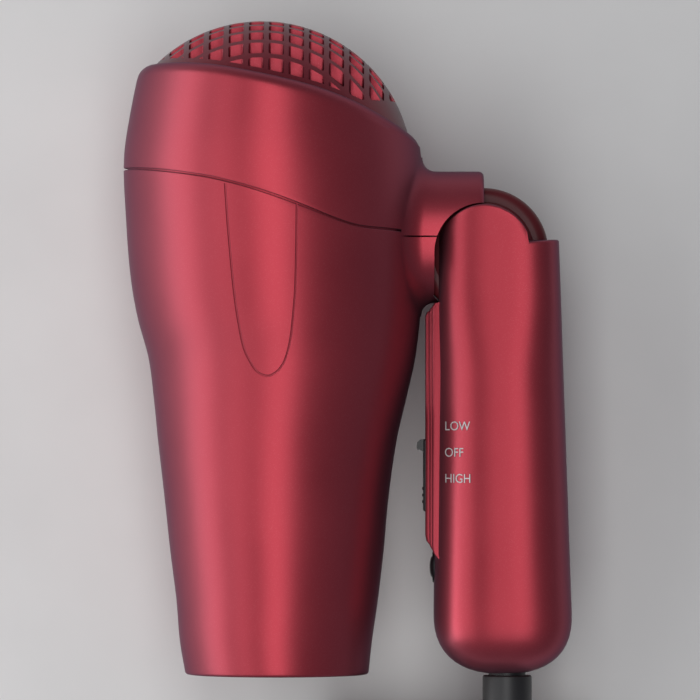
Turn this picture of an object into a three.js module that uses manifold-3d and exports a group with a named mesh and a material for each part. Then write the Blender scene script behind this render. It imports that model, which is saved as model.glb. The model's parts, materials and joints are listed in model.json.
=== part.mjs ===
// A folding travel hair dryer, lying on its side with the handle folded against the barrel.
// Millimetres, +Z up. Inside the dryer group the barrel axis is Y, the nozzle is at y = 0,
// the handle folds about an axis along Z, and z = 0 is the middle plane of barrel and handle.
import * as THREE from "three";
import { mergeVertices } from "three/addons/utils/BufferGeometryUtils.js";
import Module from "manifold-3d";

const wasm = await Module();
wasm.setup();

// ---------------------------------------------------------------- driving dimensions
const clearance = 0.35; // between pieces that touch or slide
const wall = 2.0; // barrel wall
const facets = 28; // round the barrel

// Barrel outline: distance along the axis, then the outline's reach to the left and to the
// right of the axis.
const nozzleRadius = 22.3;
const barrelStations = [
  [0, nozzleRadius, nozzleRadius],
  [30, 26.0, 26.0],
  [57, 29.1, 29.1],
  [67, 30.0, 31.4],
  [77, 31.2, 33.4],
  [87, 34.0, 34.8],
  [97, 35.7, 35.3],
  [111, 36.8, 35.7],
  [125.5, 37.3, 35.2],
  [137, 35.7, 33.4],
  [150, 33.0, 31.2],
];
const barrelTop = barrelStations[barrelStations.length - 1][0];

// Joint line between the front and the rear housing, seen from the side: x, y.
const splitLine = [
  [-45, 122.7], [-33, 122.7], [-18.3, 120.9], [-6.6, 118.1], [5.1, 114.1],
  [14, 110.6], [19.8, 108.8], [28.5, 107.8], [39, 106.5], [60, 106.5],
];
// Rear rim of the housing, seen from the side, an arc through three points.
const rimLeft = [-29.2, 148.4];
const rimMiddle = [1.6, 143.6];
const rimRight = [30.7, 132.6];
const rimLip = 2.2; // thickness of the lip that holds the grille

// Domed inlet grille.
const domeRadius = 36.8;
const domeCentre = [-3.7, 122.3];
const domeDepth = 2.9; // depth of the ribs along the barrel axis
const ribPitch = 4.85;
const ribWidth = 1.2;
const grilleRadius = 32.6; // plan radius that the openings fill
const skirtDepth = 4.2; // how far the dome reaches below the rim

// Neck and hinge.
const neckRadius = 16.0;
const neckY = 106.5;
const hingeX = 50.3;
const hingeY = 102.6;
const neckEnd = hingeX + 0.4; // x of the neck's end face, which stops the handle
const drumRadius = 15.8;
const drumRound = 2.5; // rounding of the drum's rims
const drumHalf = 7.0; // half the drum's width
const drumWall = 2.2;
const plateRadius = 11.7; // round top of the handle's side plates
const plateInner = 8.05; // z of the side plates' inner faces
const trunnionRadius = 5.0;
const trunnionBore = 3.1;
const trunnionReach = 4.4; // how far a trunnion reaches into the drum

// Handle.
const handleLength = 104.9; // from the handle's end to the face above the drum
const handleEndY = 0.1;
const handleLeft = [38.0, 39.15]; // left edge at the foot and at the hinge
const handleRight = [72.35, 68.7]; // right edge at the foot and at the hinge
const handleHalf = [16.6, 16.0]; // half the thickness at the foot and at the hinge
const handleWall = 2.0;
const endRound = 15; // height of the rounded foot
const sectionPower = 2.8; // roundness of the handle's section
const landReach = 2.4; // how far the switch land stands out
const landBottom = 31.5;
const landTop = 89.6;
const landHalf = 8.6;

// Switch and cool-shot button.
const recessBottom = 33.0;
const recessTop = 71.8;
const recessHalf = 4.6;
const recessDepth = 2.35; // below the land
const switchStep = 6.35; // between one switch position and the next
const sliderTop = 57.3; // with the slider in its middle position
const sliderHalf = 4.1;
const sliderPlate = 1.5; // thickness of the slider
const linerThickness = 0.7;
const stemLength = 3.0;
const stemHalf = 1.2;
const nubHeight = 2.8;
const nubLength = 3.2;
const buttonY = 26.2;
const buttonRadius = 3.0;
const bezelRadius = 4.0;

// Inside the barrel.
const fanRadius = 29.2;
const ductRadius = 32.6;
const ductWall = 1.8;
const ductBottom = 98;
const ductTop = 124.5;
const fanBottom = 111.5;
const fanTop = 122;
const bladeCount = 7;
const hubRadius = 12.5;
const motorRadius = 13.8;
const motorBottom = 76.5;
const motorTop = 107;
const shaftRadius = 1.15;
const heaterBottom = 10;
const heaterTop = 66;
const heaterHalf = 15.6;
const coilWire = 1.2; // radius of the wound heating wire
const outletGrilleY = 5.6; // how far the outlet grille is set back
const outletGrilleDepth = 2.4;

// Cord, coil and plug.
const cordDiameter = 5.8;
const reliefX = 56.1;
const reliefRadius = 6.0;
const reliefTip = 4.0;
const reliefLength = 34;
const coilCentre = [0, -80];
const coilInner = 20.4; // inside of the turns
const coilOuter = 45.8; // outside of the turns
const tieThickness = 0.9;
const plugLength = 50;
const plugWidth = 24;
const plugHeight = 27;
const plugCentre = [36, -21.5];
const bladeLength = 15.5;

// ---------------------------------------------------------------- materials
function finish(color, roughness, metalness = 0) {
  return new THREE.MeshStandardMaterial({ color, roughness, metalness });
}
const satinRed = finish(0xa8202f, 0.38, 0.6);
const deepRed = finish(0x4a1518, 0.35, 0.1);
const blackPlastic = finish(0x161617, 0.45);
const blackRubber = finish(0x1b1b1c, 0.6);
const steel = finish(0xa9adb2, 0.3, 1);
const brass = finish(0xb59a4d, 0.35, 1);
const mica = finish(0xb9ae98, 0.7);
const nichrome = finish(0x6f6a66, 0.4, 1);
const board = finish(0x9a8a50, 0.6);
const whitePlastic = finish(0xdedbd2, 0.5);
const resetRed = finish(0xb3261e, 0.45);

// ---------------------------------------------------------------- geometry helpers
// A closed BufferGeometry as a solid that can be joined and cut.
function solid(geometry) {
  const bare = geometry.index ? geometry.toNonIndexed() : geometry.clone();
  bare.deleteAttribute("normal");
  bare.deleteAttribute("uv");
  const merged = mergeVertices(bare, 1e-4);
  return new wasm.Manifold(
    new wasm.Mesh({
      numProp: 3,
      vertProperties: merged.attributes.position.array,
      triVerts: new Uint32Array(merged.index.array),
    }),
  );
}

function nodeOf(name, made, material) {
  const mesh = made.getMesh();
  const points = new Float32Array(mesh.numVert * 3);
  for (let i = 0; i < mesh.numVert; i++) {
    points.set(mesh.vertProperties.subarray(i * mesh.numProp, i * mesh.numProp + 3), i * 3);
  }
  const geometry = new THREE.BufferGeometry();
  geometry.setAttribute("position", new THREE.BufferAttribute(points, 3));
  geometry.setIndex(new THREE.BufferAttribute(new Uint32Array(mesh.triVerts), 1));
  geometry.computeVertexNormals();
  const node = new THREE.Mesh(geometry, material);
  node.name = name;
  return node;
}

function box(x0, x1, y0, y1, z0, z1) {
  const geometry = new THREE.BoxGeometry(x1 - x0, y1 - y0, z1 - z0);
  geometry.translate((x0 + x1) / 2, (y0 + y1) / 2, (z0 + z1) / 2);
  return solid(geometry);
}

// A turned piece about the barrel's axis: profile points are [radius, y], closed or ending on the axis.
function turned(profile, segments = facets) {
  const points = profile.map(([r, y]) => new THREE.Vector2(r, y));
  return facingOut(new THREE.LatheGeometry(points, segments));
}

// A lathe or loft whose faces may point in comes out as a solid with faces out.
function facingOut(geometry) {
  const made = solid(geometry);
  if (made.volume() > 0) return made;
  const turnedRound = geometry.clone();
  if (!turnedRound.index) turnedRound.setIndex([...Array(turnedRound.attributes.position.count).keys()]);
  const index = turnedRound.index.array;
  for (let i = 0; i < index.length; i += 3) [index[i + 1], index[i + 2]] = [index[i + 2], index[i + 1]];
  return solid(turnedRound);
}

function rod(radius, y0, y1, segments = 12) {
  return turned([[0, y0], [radius, y0], [radius, y1], [0, y1]], segments);
}

function tube(outer, inner, y0, y1, segments = facets) {
  return turned([[inner, y0], [outer, y0], [outer, y1], [inner, y1], [inner, y0]], segments);
}

// Turned about Y, these lay the piece along Z or X and move it.
function alongZ(made, x = 0, y = 0, z = 0) {
  return made.rotate([90, 0, 0]).translate([x, y, z]);
}
function alongX(made, x = 0, y = 0, z = 0) {
  return made.rotate([0, 0, -90]).translate([x, y, z]);
}

// A solid through closed rings of points, all with the same count.
function loft(rings) {
  const count = rings[0].length;
  const points = rings.flat();
  const faces = [];
  for (let i = 0; i + 1 < rings.length; i++) {
    for (let k = 0; k < count; k++) {
      const a = i * count + k;
      const b = i * count + ((k + 1) % count);
      faces.push(a, b, a + count, b, b + count, a + count);
    }
  }
  const last = (rings.length - 1) * count;
  for (let k = 1; k + 1 < count; k++) {
    faces.push(0, k + 1, k);
    faces.push(last, last + k, last + k + 1);
  }
  const geometry = new THREE.BufferGeometry().setFromPoints(points);
  geometry.setIndex(faces);
  return facingOut(geometry);
}

// A flat outline in x and y, extruded through z.
function prism(outline, z0, z1) {
  const isShape = outline instanceof THREE.Shape;
  const shape = isShape ? outline : new THREE.Shape(outline.map(([x, y]) => new THREE.Vector2(x, y)));
  const depths = { depth: z1 - z0, bevelEnabled: false, curveSegments: 10 };
  const geometry = new THREE.ExtrudeGeometry(shape, depths);
  geometry.translate(0, 0, z0);
  return solid(geometry);
}

// A tube along a smooth line.
function sweep(points, radius, sides, steps) {
  const curve = new THREE.CatmullRomCurve3(points.map((p) => new THREE.Vector3(...p)), false, "centripetal");
  const ring = new THREE.Shape();
  for (let k = 0; k < sides; k++) {
    const turn = (k / sides) * 2 * Math.PI;
    ring[k ? "lineTo" : "moveTo"](radius * Math.cos(turn), radius * Math.sin(turn));
  }
  return solid(new THREE.ExtrudeGeometry(ring, { steps, bevelEnabled: false, extrudePath: curve }));
}

// Smooth value between stations [at, value...]: a cubic with each tangent from its two neighbours.
function between(stations, at, column) {
  const last = stations.length - 1;
  let i = 0;
  while (i < last - 1 && at > stations[i + 1][0]) i++;
  const slope = (k) => {
    const lo = Math.max(k - 1, 0);
    const hi = Math.min(k + 1, last);
    return (stations[hi][column] - stations[lo][column]) / (stations[hi][0] - stations[lo][0]);
  };
  const span = stations[i + 1][0] - stations[i][0];
  const t = Math.min(1, Math.max(0, (at - stations[i][0]) / span));
  const [a, b] = [stations[i][column], stations[i + 1][column]];
  const [t2, t3] = [t * t, t * t * t];
  return (
    (2 * t3 - 3 * t2 + 1) * a + (t3 - 2 * t2 + t) * span * slope(i) +
    (3 * t2 - 2 * t3) * b + (t3 - t2) * span * slope(i + 1)
  );
}

function mix(pair, t) {
  return pair[0] + (pair[1] - pair[0]) * t;
}

// ---------------------------------------------------------------- barrel housings
const barrelLeft = (y) => between(barrelStations, y, 1);
const barrelRight = (y) => between(barrelStations, y, 2);
const barrelRadius = (y) => (barrelLeft(y) + barrelRight(y)) / 2;
const barrelCentre = (y) => (barrelRight(y) - barrelLeft(y)) / 2;

function barrelRing(y, inset) {
  return Array.from({ length: facets }, (_, k) => {
    const turn = (k / facets) * 2 * Math.PI;
    const r = barrelRadius(y) - inset;
    return new THREE.Vector3(barrelCentre(y) + r * Math.cos(turn), y, r * Math.sin(turn));
  });
}

function barrelLoft(inset, y0, y1) {
  const inside = barrelStations.map((s) => s[0]).filter((y) => y > y0 + 1 && y < y1 - 1);
  return loft([y0, ...inside, y1].map((y) => barrelRing(y, inset)));
}

// Everything in front of (below) or behind (above) a line seen from the side.
function sideRegion(line, edge) {
  const curve = new THREE.SplineCurve(line.map(([x, y]) => new THREE.Vector2(x, y)));
  const points = curve.getPoints(line.length * 2).map((p) => [p.x, p.y]);
  const first = points[0];
  const last = points[points.length - 1];
  return prism([...points, [last[0], edge], [first[0], edge]], -60, 60);
}

// Height of the rim at x: the arc's circle from its three points, carried on past both ends.
function rimHeight(x) {
  const [ax, ay] = rimLeft;
  const [bx, by] = rimMiddle;
  const [cx, cy] = rimRight;
  const d = 2 * (ax * (by - cy) + bx * (cy - ay) + cx * (ay - by));
  const [a2, b2, c2] = [ax * ax + ay * ay, bx * bx + by * by, cx * cx + cy * cy];
  const ux = (a2 * (by - cy) + b2 * (cy - ay) + c2 * (ay - by)) / d;
  const uy = (a2 * (cx - bx) + b2 * (ax - cx) + c2 * (bx - ax)) / d;
  const radius = Math.hypot(ax - ux, ay - uy);
  return uy + Math.sqrt(radius ** 2 - (x - ux) ** 2);
}
function rimLine(drop) {
  return [-48, -36, -24, -12, 0, 12, 24, 36, 48].map((x) => [x, rimHeight(x) - drop]);
}

function shifted(line, dy) {
  return line.map(([x, y]) => [x, y + dy]);
}

const neckStart = 20;
const neckOuter = alongX(rod(neckRadius, neckStart, neckEnd, 24), 0, neckY, 0);
const neckInner = alongX(rod(neckRadius - wall, neckStart - 2, hingeX - 9, 24), 0, neckY, 0);
const barrelOuter = barrelLoft(0, 0, barrelTop);
const barrelInner = barrelLoft(wall, -1, barrelTop + 1);

// Room for the hinge: the drum, and the handle's side plates as they turn.
function hingeDisc(radius, z0, z1, segments = 32) {
  return alongZ(rod(radius, z0, z1, segments), hingeX, hingeY, 0);
}
const pocketEdge = drumHalf + clearance / 2;
function platePocket(sign) {
  const [z0, z1] = sign > 0 ? [pocketEdge, 40] : [-40, -pocketEdge];
  const below = box(hingeX - plateRadius - clearance, 90, 40, hingeY, z0, z1);
  return hingeDisc(plateRadius + clearance, z0, z1).add(below);
}
const drumRoom = hingeDisc(drumRadius + clearance, -drumHalf - clearance, drumHalf + clearance);
const hingeRoom = drumRoom.add(platePocket(1)).add(platePocket(-1));

const barrelSkin = barrelOuter.add(neckOuter);
const rearRim = sideRegion(rimLine(0), -200);
const cavity = barrelInner.intersect(sideRegion(rimLine(rimLip), -200)).add(neckInner);
const grilleHole = domeSphere(domeRadius + clearance).intersect(barrelLoft(wall, 110, barrelTop + 8));
const hull = barrelSkin.intersect(rearRim).subtract(cavity).subtract(hingeRoom);

function domeSphere(radius) {
  const ball = solid(new THREE.SphereGeometry(radius, 16, 8).rotateY(Math.PI / 16));
  return ball.translate([domeCentre[0], domeCentre[1], 0]);
}

function rearHousing() {
  return hull.intersect(sideRegion(shifted(splitLine, clearance / 2), 200)).subtract(grilleHole);
}

// The long U-shaped scoop on both sides of the front housing.
const scoopDepth = 0.3;
function scoopOutline() {
  const shape = new THREE.Shape();
  shape.moveTo(-10.9, 121);
  shape.quadraticCurveTo(-10.4, 92, -8.2, 81.5);
  shape.quadraticCurveTo(-6.6, 73.2, -2.6, 73.1);
  shape.quadraticCurveTo(2.2, 73.2, 3.9, 83.5);
  shape.quadraticCurveTo(5.0, 94, 5.0, 121);
  shape.closePath();
  return shape;
}
function frontHousing() {
  const skin = barrelLoft(-1, 60, 124).subtract(barrelLoft(scoopDepth, 59, 125));
  const scoops = skin.intersect(prism(scoopOutline(), -60, 60));
  return hull.intersect(sideRegion(shifted(splitLine, -clearance / 2), -50)).subtract(scoops);
}

// ---------------------------------------------------------------- grilles
const borderAbove = 1.4; // how far the openings stay above the rim
const borderCentre = 0.6; // x about which the openings' edge is drawn

// How far the dome stands above the rim at a plan position.
function domeAboveRim(x, z) {
  const flat = Math.hypot(x - domeCentre[0], z);
  return domeCentre[1] + Math.sqrt(Math.max(0, domeRadius ** 2 - flat ** 2)) - rimHeight(x);
}

function openingReach(turn) {
  const [c, s] = [Math.cos(turn), Math.sin(turn)];
  let reach = domeRadius;
  while (domeAboveRim(borderCentre + reach * c, reach * s) < borderAbove
    || Math.hypot(borderCentre + reach * c - domeCentre[0], reach * s) > grilleRadius) reach -= 0.2;
  return reach;
}

// The square openings, all drawn along the barrel's axis: whole cells, and cells cut by the round edge.
function openingPrisms() {
  const cells = [];
  const half = (ribPitch - ribWidth) / 2;
  const count = Math.ceil(grilleRadius / ribPitch) + 1;
  for (let i = -count; i <= count; i++) {
    for (let k = -count; k < count; k++) {
      const x = i * ribPitch;
      const z = (k + 0.5) * ribPitch;
      const reach = openingReach(Math.atan2(z, x - borderCentre));
      const near = Math.hypot(Math.abs(x - borderCentre) - half, Math.abs(z) - half);
      if (near < reach - 1.6) cells.push(box(x - half, x + half, 100, 170, z - half, z + half));
    }
  }
  const edge = new THREE.Shape(Array.from({ length: 20 }, (_, k) => {
    const turn = (k / 20) * 2 * Math.PI;
    const reach = openingReach(turn);
    return new THREE.Vector2(borderCentre + reach * Math.cos(turn), -reach * Math.sin(turn));
  }));
  return wasm.Manifold.union(cells).intersect(prism(edge, 100, 170).rotate([-90, 0, 0]));
}

function inletGrille() {
  const dome = domeSphere(domeRadius);
  const band = barrelLoft(wall + clearance, 118, barrelTop + 12);
  const below = sideRegion(rimLine(rimLip + clearance), -200);
  const above = sideRegion(rimLine(rimLip + skirtDepth), 200);
  const flange = band.intersect(below).intersect(above).subtract(domeSphere(domeRadius - 2));
  const shell = dome.intersect(band).intersect(above).subtract(dome.translate([0, -domeDepth, 0])
    .intersect(domeSphere(domeRadius - 1.4)));
  return shell.add(flange).subtract(openingPrisms());
}

// Guard in the nozzle: rings and spokes.
function outletGrille() {
  const y0 = outletGrilleY;
  const y1 = y0 + outletGrilleDepth;
  const outer = barrelRadius(y0) - wall - clearance;
  const rings = [outer, 15.2, 9.9].map((r) => tube(r, r - 1.3, y0, y1, 20));
  const spokes = [0, 45, 90, 135].map((turn) =>
    box(-outer + 0.6, outer - 0.6, y0, y1, -0.65, 0.65).rotate([0, turn, 0]));
  return wasm.Manifold.union([...rings, ...spokes, rod(4.2, y0, y1, 12)]);
}

// ---------------------------------------------------------------- fan and motor
function fanDuct() {
  const ring = tube(ductRadius, ductRadius - ductWall, ductBottom, ductTop, facets);
  const sleeve = tube(motorRadius + clearance + 1.5, motorRadius + clearance, ductBottom, motorTop - 1, 24);
  const vane = box(motorRadius + 1, ductRadius - 1, ductBottom, ductBottom + 9, -0.7, 0.7);
  const vanes = Array.from({ length: 6 }, (_, k) => vane.rotate([0, k * 60, 0]));
  return wasm.Manifold.union([ring, sleeve, ...vanes]);
}

function impeller() {
  const bore = shaftRadius + 0.05;
  const profile = [
    [bore, fanBottom], [hubRadius, fanBottom], [hubRadius, fanTop - 5], [9.5, fanTop - 1],
    [5, fanTop + 1], [bore, fanTop + 1], [bore, fanBottom],
  ];
  const hub = turned(profile, 20);
  const blade = loft([11.5, 20, fanRadius].map((r) => {
    const pitch = THREE.MathUtils.degToRad(52 - 1.1 * (r - 11.5));
    const chord = 11 + 0.25 * (r - 11.5);
    const corner = (u, v) => new THREE.Vector3(
      r,
      (fanBottom + fanTop) / 2 - 0.6 + u * Math.cos(pitch) - v * Math.sin(pitch),
      u * Math.sin(pitch) + v * Math.cos(pitch),
    );
    return [corner(-chord / 2, -0.5), corner(0, -0.9), corner(chord / 2, -0.5),
      corner(chord / 2, 0.5), corner(0, 0.3), corner(-chord / 2, 0.5)];
  }));
  const slice = box(-40, 40, fanBottom, fanTop, -40, 40);
  const blades = Array.from({ length: bladeCount }, (_, k) => blade.rotate([0, (k * 360) / bladeCount, 0]));
  return wasm.Manifold.union([hub, wasm.Manifold.union(blades).intersect(slice)]);
}

function motorCan() {
  const rimRadius = motorRadius - 1;
  const profile = [
    [0, motorBottom], [rimRadius, motorBottom], [motorRadius, motorBottom + 1], [motorRadius, motorTop - 1],
    [rimRadius, motorTop], [5, motorTop], [5, motorTop + 2], [0, motorTop + 2],
  ];
  const body = turned(profile, 24);
  return body.subtract(rod(shaftRadius + 0.3, motorTop - 12, motorTop + 4, 10));
}

function motorShaft() {
  return rod(shaftRadius - 0.3, motorTop - 10, fanTop + 1.6, 10);
}

function motorEndCap() {
  return rod(motorRadius - 0.4, motorBottom - 2.5, motorBottom - clearance, 24);
}

const boardTop = motorBottom - 6.2;
function rectifierBoard() {
  return rod(12.5, boardTop - 1.5, boardTop, 24);
}

function diode(turn) {
  return alongX(rod(1.3, -2.4, 2.4, 8), 0, boardTop + clearance + 1.3, 8.4).rotate([0, turn, 0]);
}

// ---------------------------------------------------------------- heater
function heaterFrame() {
  const plate = box(-heaterHalf, heaterHalf, heaterBottom, heaterTop, -0.5, 0.5);
  return plate.add(plate.rotate([0, 90, 0]));
}

function heaterCoil(y0, y1, turns) {
  const r = heaterHalf + clearance + coilWire;
  const steps = turns * 8;
  const points = Array.from({ length: steps + 1 }, (_, k) => {
    const turn = (k / 8) * 2 * Math.PI;
    return [r * Math.cos(turn), y0 + ((y1 - y0) * k) / steps, r * Math.sin(turn)];
  });
  return sweep(points, coilWire, 4, steps);
}

function thermostat() {
  const body = box(3, 10.5, 36, 47, 2.2, 8.4);
  return body.add(rod(2.6, 47, 48.6, 12).translate([6.7, 0, 5.3]));
}

function thermalFuse() {
  return rod(1.7, 30, 40, 10).add(rod(0.5, 26, 44, 6)).translate([-5, 0, -5]);
}

function heatShield() {
  const outer = (y) => barrelRadius(y) - wall - 1.1;
  const stations = [heaterBottom + 0.4, 30, 57, heaterTop];
  const profile = [
    ...stations.map((y) => [outer(y), y]),
    ...stations.slice().reverse().map((y) => [outer(y) - 0.7, y]),
  ];
  return turned([...profile, profile[0]], facets);
}

// ---------------------------------------------------------------- hinge
function hingeDrum() {
  const arc = (sign) => [0, 30, 60, 90].map((a) => {
    const t = THREE.MathUtils.degToRad(a);
    const reach = drumRadius - drumRound + drumRound * Math.sin(t);
    return [reach, sign * (drumHalf - drumRound + drumRound * Math.cos(t))];
  });
  const bore = trunnionRadius + 0.3;
  const outline = [[bore, -drumHalf], ...arc(-1), ...arc(1).reverse(), [bore, drumHalf]];
  const skin = turned([...outline, outline[0]], 28);
  const room = tube(drumRadius - drumWall, trunnionRadius - 1, -drumHalf + 1.8, drumHalf - 1.8, 24);
  const drum = alongZ(skin.subtract(room), hingeX, hingeY, 0);
  const neckWindow = box(hingeX - 20, hingeX - 10, neckY - 5, neckY + 5, -7, 7);
  const cableSlot = box(hingeX - 3, hingeX + 9, hingeY - 20, hingeY - 8, -6, 6);
  return drum.subtract(neckWindow).subtract(cableSlot);
}

function hingeWasher(sign) {
  const ring = tube(9.2, trunnionRadius + 0.35, -0.2, 0.2, 20);
  return alongZ(ring, hingeX, hingeY, sign * (drumHalf + plateInner) / 2);
}

// ---------------------------------------------------------------- handle
function handleRing(y, inset) {
  const t = Math.min(1, Math.max(0, y / handleLength));
  const foot = Math.max(0, (endRound - (y - handleEndY)) / endRound);
  const shrink = (1 - Math.min(0.97, foot) ** 2.4) ** (1 / 2.4);
  const left = mix(handleLeft, t);
  const right = mix(handleRight, t);
  const halfX = Math.max(1, ((right - left) / 2) * shrink - inset);
  const halfZ = Math.max(1, mix(handleHalf, t) * shrink - inset);
  return Array.from({ length: 24 }, (_, k) => {
    const turn = (k / 24) * 2 * Math.PI;
    const [c, s] = [Math.cos(turn), Math.sin(turn)];
    return new THREE.Vector3(
      (left + right) / 2 + halfX * Math.sign(c) * Math.abs(c) ** (2 / sectionPower),
      y,
      halfZ * Math.sign(s) * Math.abs(s) ** (2 / sectionPower),
    );
  });
}

const footStations = [0, 0.8, 2, 4, 7, 11, 15];
function handleLoft(inset, y0, top) {
  const stations = footStations.map((s) => s + y0).concat([40, 75, top]);
  return loft(stations.map((y) => handleRing(Math.max(handleEndY, y), inset)));
}

// The raised land round the switch, on the edge that faces the barrel.
function landAt(x, reach, low, high, half) {
  const outline = new THREE.Shape();
  const slope = 3.2;
  outline.moveTo(x + 6, low - slope);
  outline.lineTo(x, low - slope * 0.4);
  outline.lineTo(x - reach * 0.75, low);
  outline.lineTo(x - reach, low + 1.6);
  outline.lineTo(x - reach, high - 2.4);
  outline.lineTo(x - reach * 0.55, high - 0.8);
  outline.lineTo(x + 1, high);
  outline.lineTo(x + 6, high);
  outline.closePath();
  return prism(outline, -half, half);
}

const landEdge = mix(handleLeft, 0.5);
const recessFloor = landEdge - landReach + recessDepth;
const linerFace = recessFloor - clearance - linerThickness; // outer face of the plate in the recess
const recessMiddle = (recessBottom + recessTop) / 2;
const stemRoom = stemLength / 2 + switchStep + clearance; // half the slot the stem slides in

// The outside of both halves together, with the rounded side plates and the face above the drum.
function handleOuter() {
  const body = handleLoft(0, 0, 116);
  const land = landAt(landEdge, landReach, landBottom, landTop, landHalf);
  const faceSlope = Math.tan(THREE.MathUtils.degToRad(5));
  const faceLeft = hingeX + 10.9;
  const above = prism([
    [faceLeft, handleLength], [90, handleLength + (90 - faceLeft) * faceSlope], [90, 130], [faceLeft, 130],
  ], -40, 40);
  const plateTop = box(20, faceLeft + 0.01, hingeY, 130, -40, 40).subtract(hingeDisc(plateRadius, -40, 40));
  return body.add(land).subtract(above).subtract(plateTop);
}

const screwPlaces = [[61.5, 20], [63.5, 78]];
const screwShank = 1.4;
const screwHead = 2.7;
const bossRadius = 3.6;

function handleHalfShell(sign) {
  const inside = handleLoft(handleWall, handleWall + handleEndY, 116)
    .subtract(box(0, 100, hingeY - drumRadius - 6, 130, plateInner, 40))
    .subtract(box(0, 100, hingeY - drumRadius - 6, 130, -40, -plateInner));
  const half = sign > 0 ? box(0, 100, -5, 130, 0.15, 40) : box(0, 100, -5, 130, -40, -0.15);
  const bosses = screwPlaces.map(([x, y]) => alongZ(rod(bossRadius, -12.5, 12.5, 16), x, y));
  const drumSweep = hingeDisc(drumRadius + clearance, -plateInner, plateInner);
  const neckSweep = box(0, hingeX, landTop + 0.2, 140, -plateInner, plateInner)
    .add(box(0, hingeX + 12, hingeY + 8, 140, -plateInner, plateInner));
  const cordHole = rod(reliefRadius - 1.2, -2, 8, 20).translate([reliefX, 0, 0]);
  const switchHole = box(20, recessFloor, recessBottom, recessTop, -recessHalf, recessHalf);
  const stemHole = stemSlot(landEdge + 4);
  const buttonHole = alongX(rod(bezelRadius + clearance, 30, 44, 20), 0, buttonY, 0);
  let shell = handleOuter().subtract(inside);
  shell = shell.add(wasm.Manifold.union(bosses)).intersect(handleOuter());
  const trunnionEnd = -drumHalf + trunnionReach;
  const trunnion = alongZ(tube(trunnionRadius, trunnionBore, -14, trunnionEnd, 20), hingeX, hingeY, 0);
  shell = shell.subtract(drumSweep).subtract(neckSweep);
  shell = shell.add(sign > 0 ? trunnion : trunnion.mirror([0, 0, 1]));
  for (const [x, y] of screwPlaces) {
    shell = shell.subtract(alongZ(rod(screwShank + clearance, -30, 8, 12), x, y));
    shell = shell.subtract(alongZ(rod(screwHead + clearance, -30, -8.3, 16), x, y));
  }
  const pinHole = alongZ(rod(trunnionBore, -14, 14, 16), hingeX, hingeY, 0);
  const holes = wasm.Manifold.union([pinHole, cordHole, switchHole, stemHole, buttonHole]);
  return shell.intersect(half).subtract(holes);
}

function handleScrew([x, y]) {
  const head = rod(screwHead, -10.6, -8.6, 12);
  const shank = rod(screwShank, -9, 7.5, 8);
  const cross = box(-1.6, 1.6, -11, -9.6, -0.35, 0.35);
  return alongZ(head.add(shank).subtract(cross).subtract(cross.rotate([0, 90, 0])), x, y);
}

function hingePin() {
  return alongZ(rod(trunnionBore - 0.15, -13.4, 13.4, 16), hingeX, hingeY, 0);
}

// ---------------------------------------------------------------- switch and button
// The slot that the slider's stem moves in, from outside the handle in to x.
function stemSlot(x) {
  const half = stemHalf + clearance;
  return box(20, x, recessMiddle - stemRoom, recessMiddle + stemRoom, -half, half);
}

function switchSlider() {
  const face = linerFace - clearance;
  const bottom = recessBottom + switchStep + clearance;
  const plate = box(face - sliderPlate, face, bottom, sliderTop, -sliderHalf, sliderHalf);
  const nubHalf = sliderHalf - 0.4;
  const nub = box(face - nubHeight, face - 1, sliderTop - nubLength, sliderTop, -nubHalf, nubHalf);
  const [stemLow, stemHigh] = [recessMiddle - stemLength / 2, recessMiddle + stemLength / 2];
  const stem = box(face - 0.5, landEdge + 5, stemLow, stemHigh, -stemHalf, stemHalf);
  return wasm.Manifold.union([plate, nub, stem]);
}

// The thin plate under the slider, which keeps dust out of the slot.
function switchLiner() {
  const half = recessHalf - clearance;
  const [low, high] = [recessBottom + clearance, recessTop - clearance];
  const liner = box(linerFace, linerFace + linerThickness, low, high, -half, half);
  return liner.subtract(stemSlot(recessFloor));
}

const switchBodyGap = 3.2; // from the middle of the handle's edge to the switch
const switchBodyEnd = 2; // how far the switch stops short of the recess's ends
function switchBody() {
  const x0 = landEdge + switchBodyGap;
  const [low, high] = [recessBottom + switchBodyEnd, recessTop - switchBodyEnd];
  return box(x0, x0 + 11, low, high, -5.6, 5.6).subtract(stemSlot(x0 + 3.2));
}

const buttonFace = mix(handleLeft, buttonY / handleLength) - 1.1;
function coolShotButton() {
  const cap = rod(buttonRadius, 0, 4.2, 20).add(rod(1.1, 4, 7.2, 10));
  return alongX(cap, buttonFace, buttonY, 0);
}
function coolShotBezel() {
  return alongX(tube(bezelRadius, buttonRadius + 0.25, 0.2, 3.6, 24), buttonFace + 0.5, buttonY, 0);
}
function coolShotSwitch() {
  const x0 = buttonFace + 8.8;
  return box(x0, x0 + 6, buttonY - 3, buttonY + 3, -4, 4);
}
// A wound return spring about Y, from the origin up.
function returnSpring(radius, height, turns) {
  const steps = turns * 8;
  const points = Array.from({ length: steps + 1 }, (_, k) => {
    const turn = (k / 8) * 2 * Math.PI;
    return [radius * Math.cos(turn), 0.3 + ((height - 0.6) * k) / steps, radius * Math.sin(turn)];
  });
  return sweep(points, 0.28, 4, steps);
}
function coolShotSpring() {
  return alongX(returnSpring(1.9, 4, 3), buttonFace + 4.5, buttonY, 0);
}

// ---------------------------------------------------------------- wiring in the handle
function cordClamp() {
  return box(reliefX - 9, reliefX + 9, 15.5, 19, -7, 7)
    .subtract(rod(3.2, 10, 25, 16).translate([reliefX, 0, 0]))
    .subtract(alongZ(rod(bossRadius + clearance, -20, 20, 16), ...screwPlaces[0]));
}

// The supply lead inside the handle, from the clamp up to the switch.
function handleLead() {
  return sweep([[55.6, 19.6, 0], [55.4, 27, 0], [56.2, 34, 0], [56, 38.6, 0], [54.6, 42, 0]], 1.7, 8, 10);
}

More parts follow.
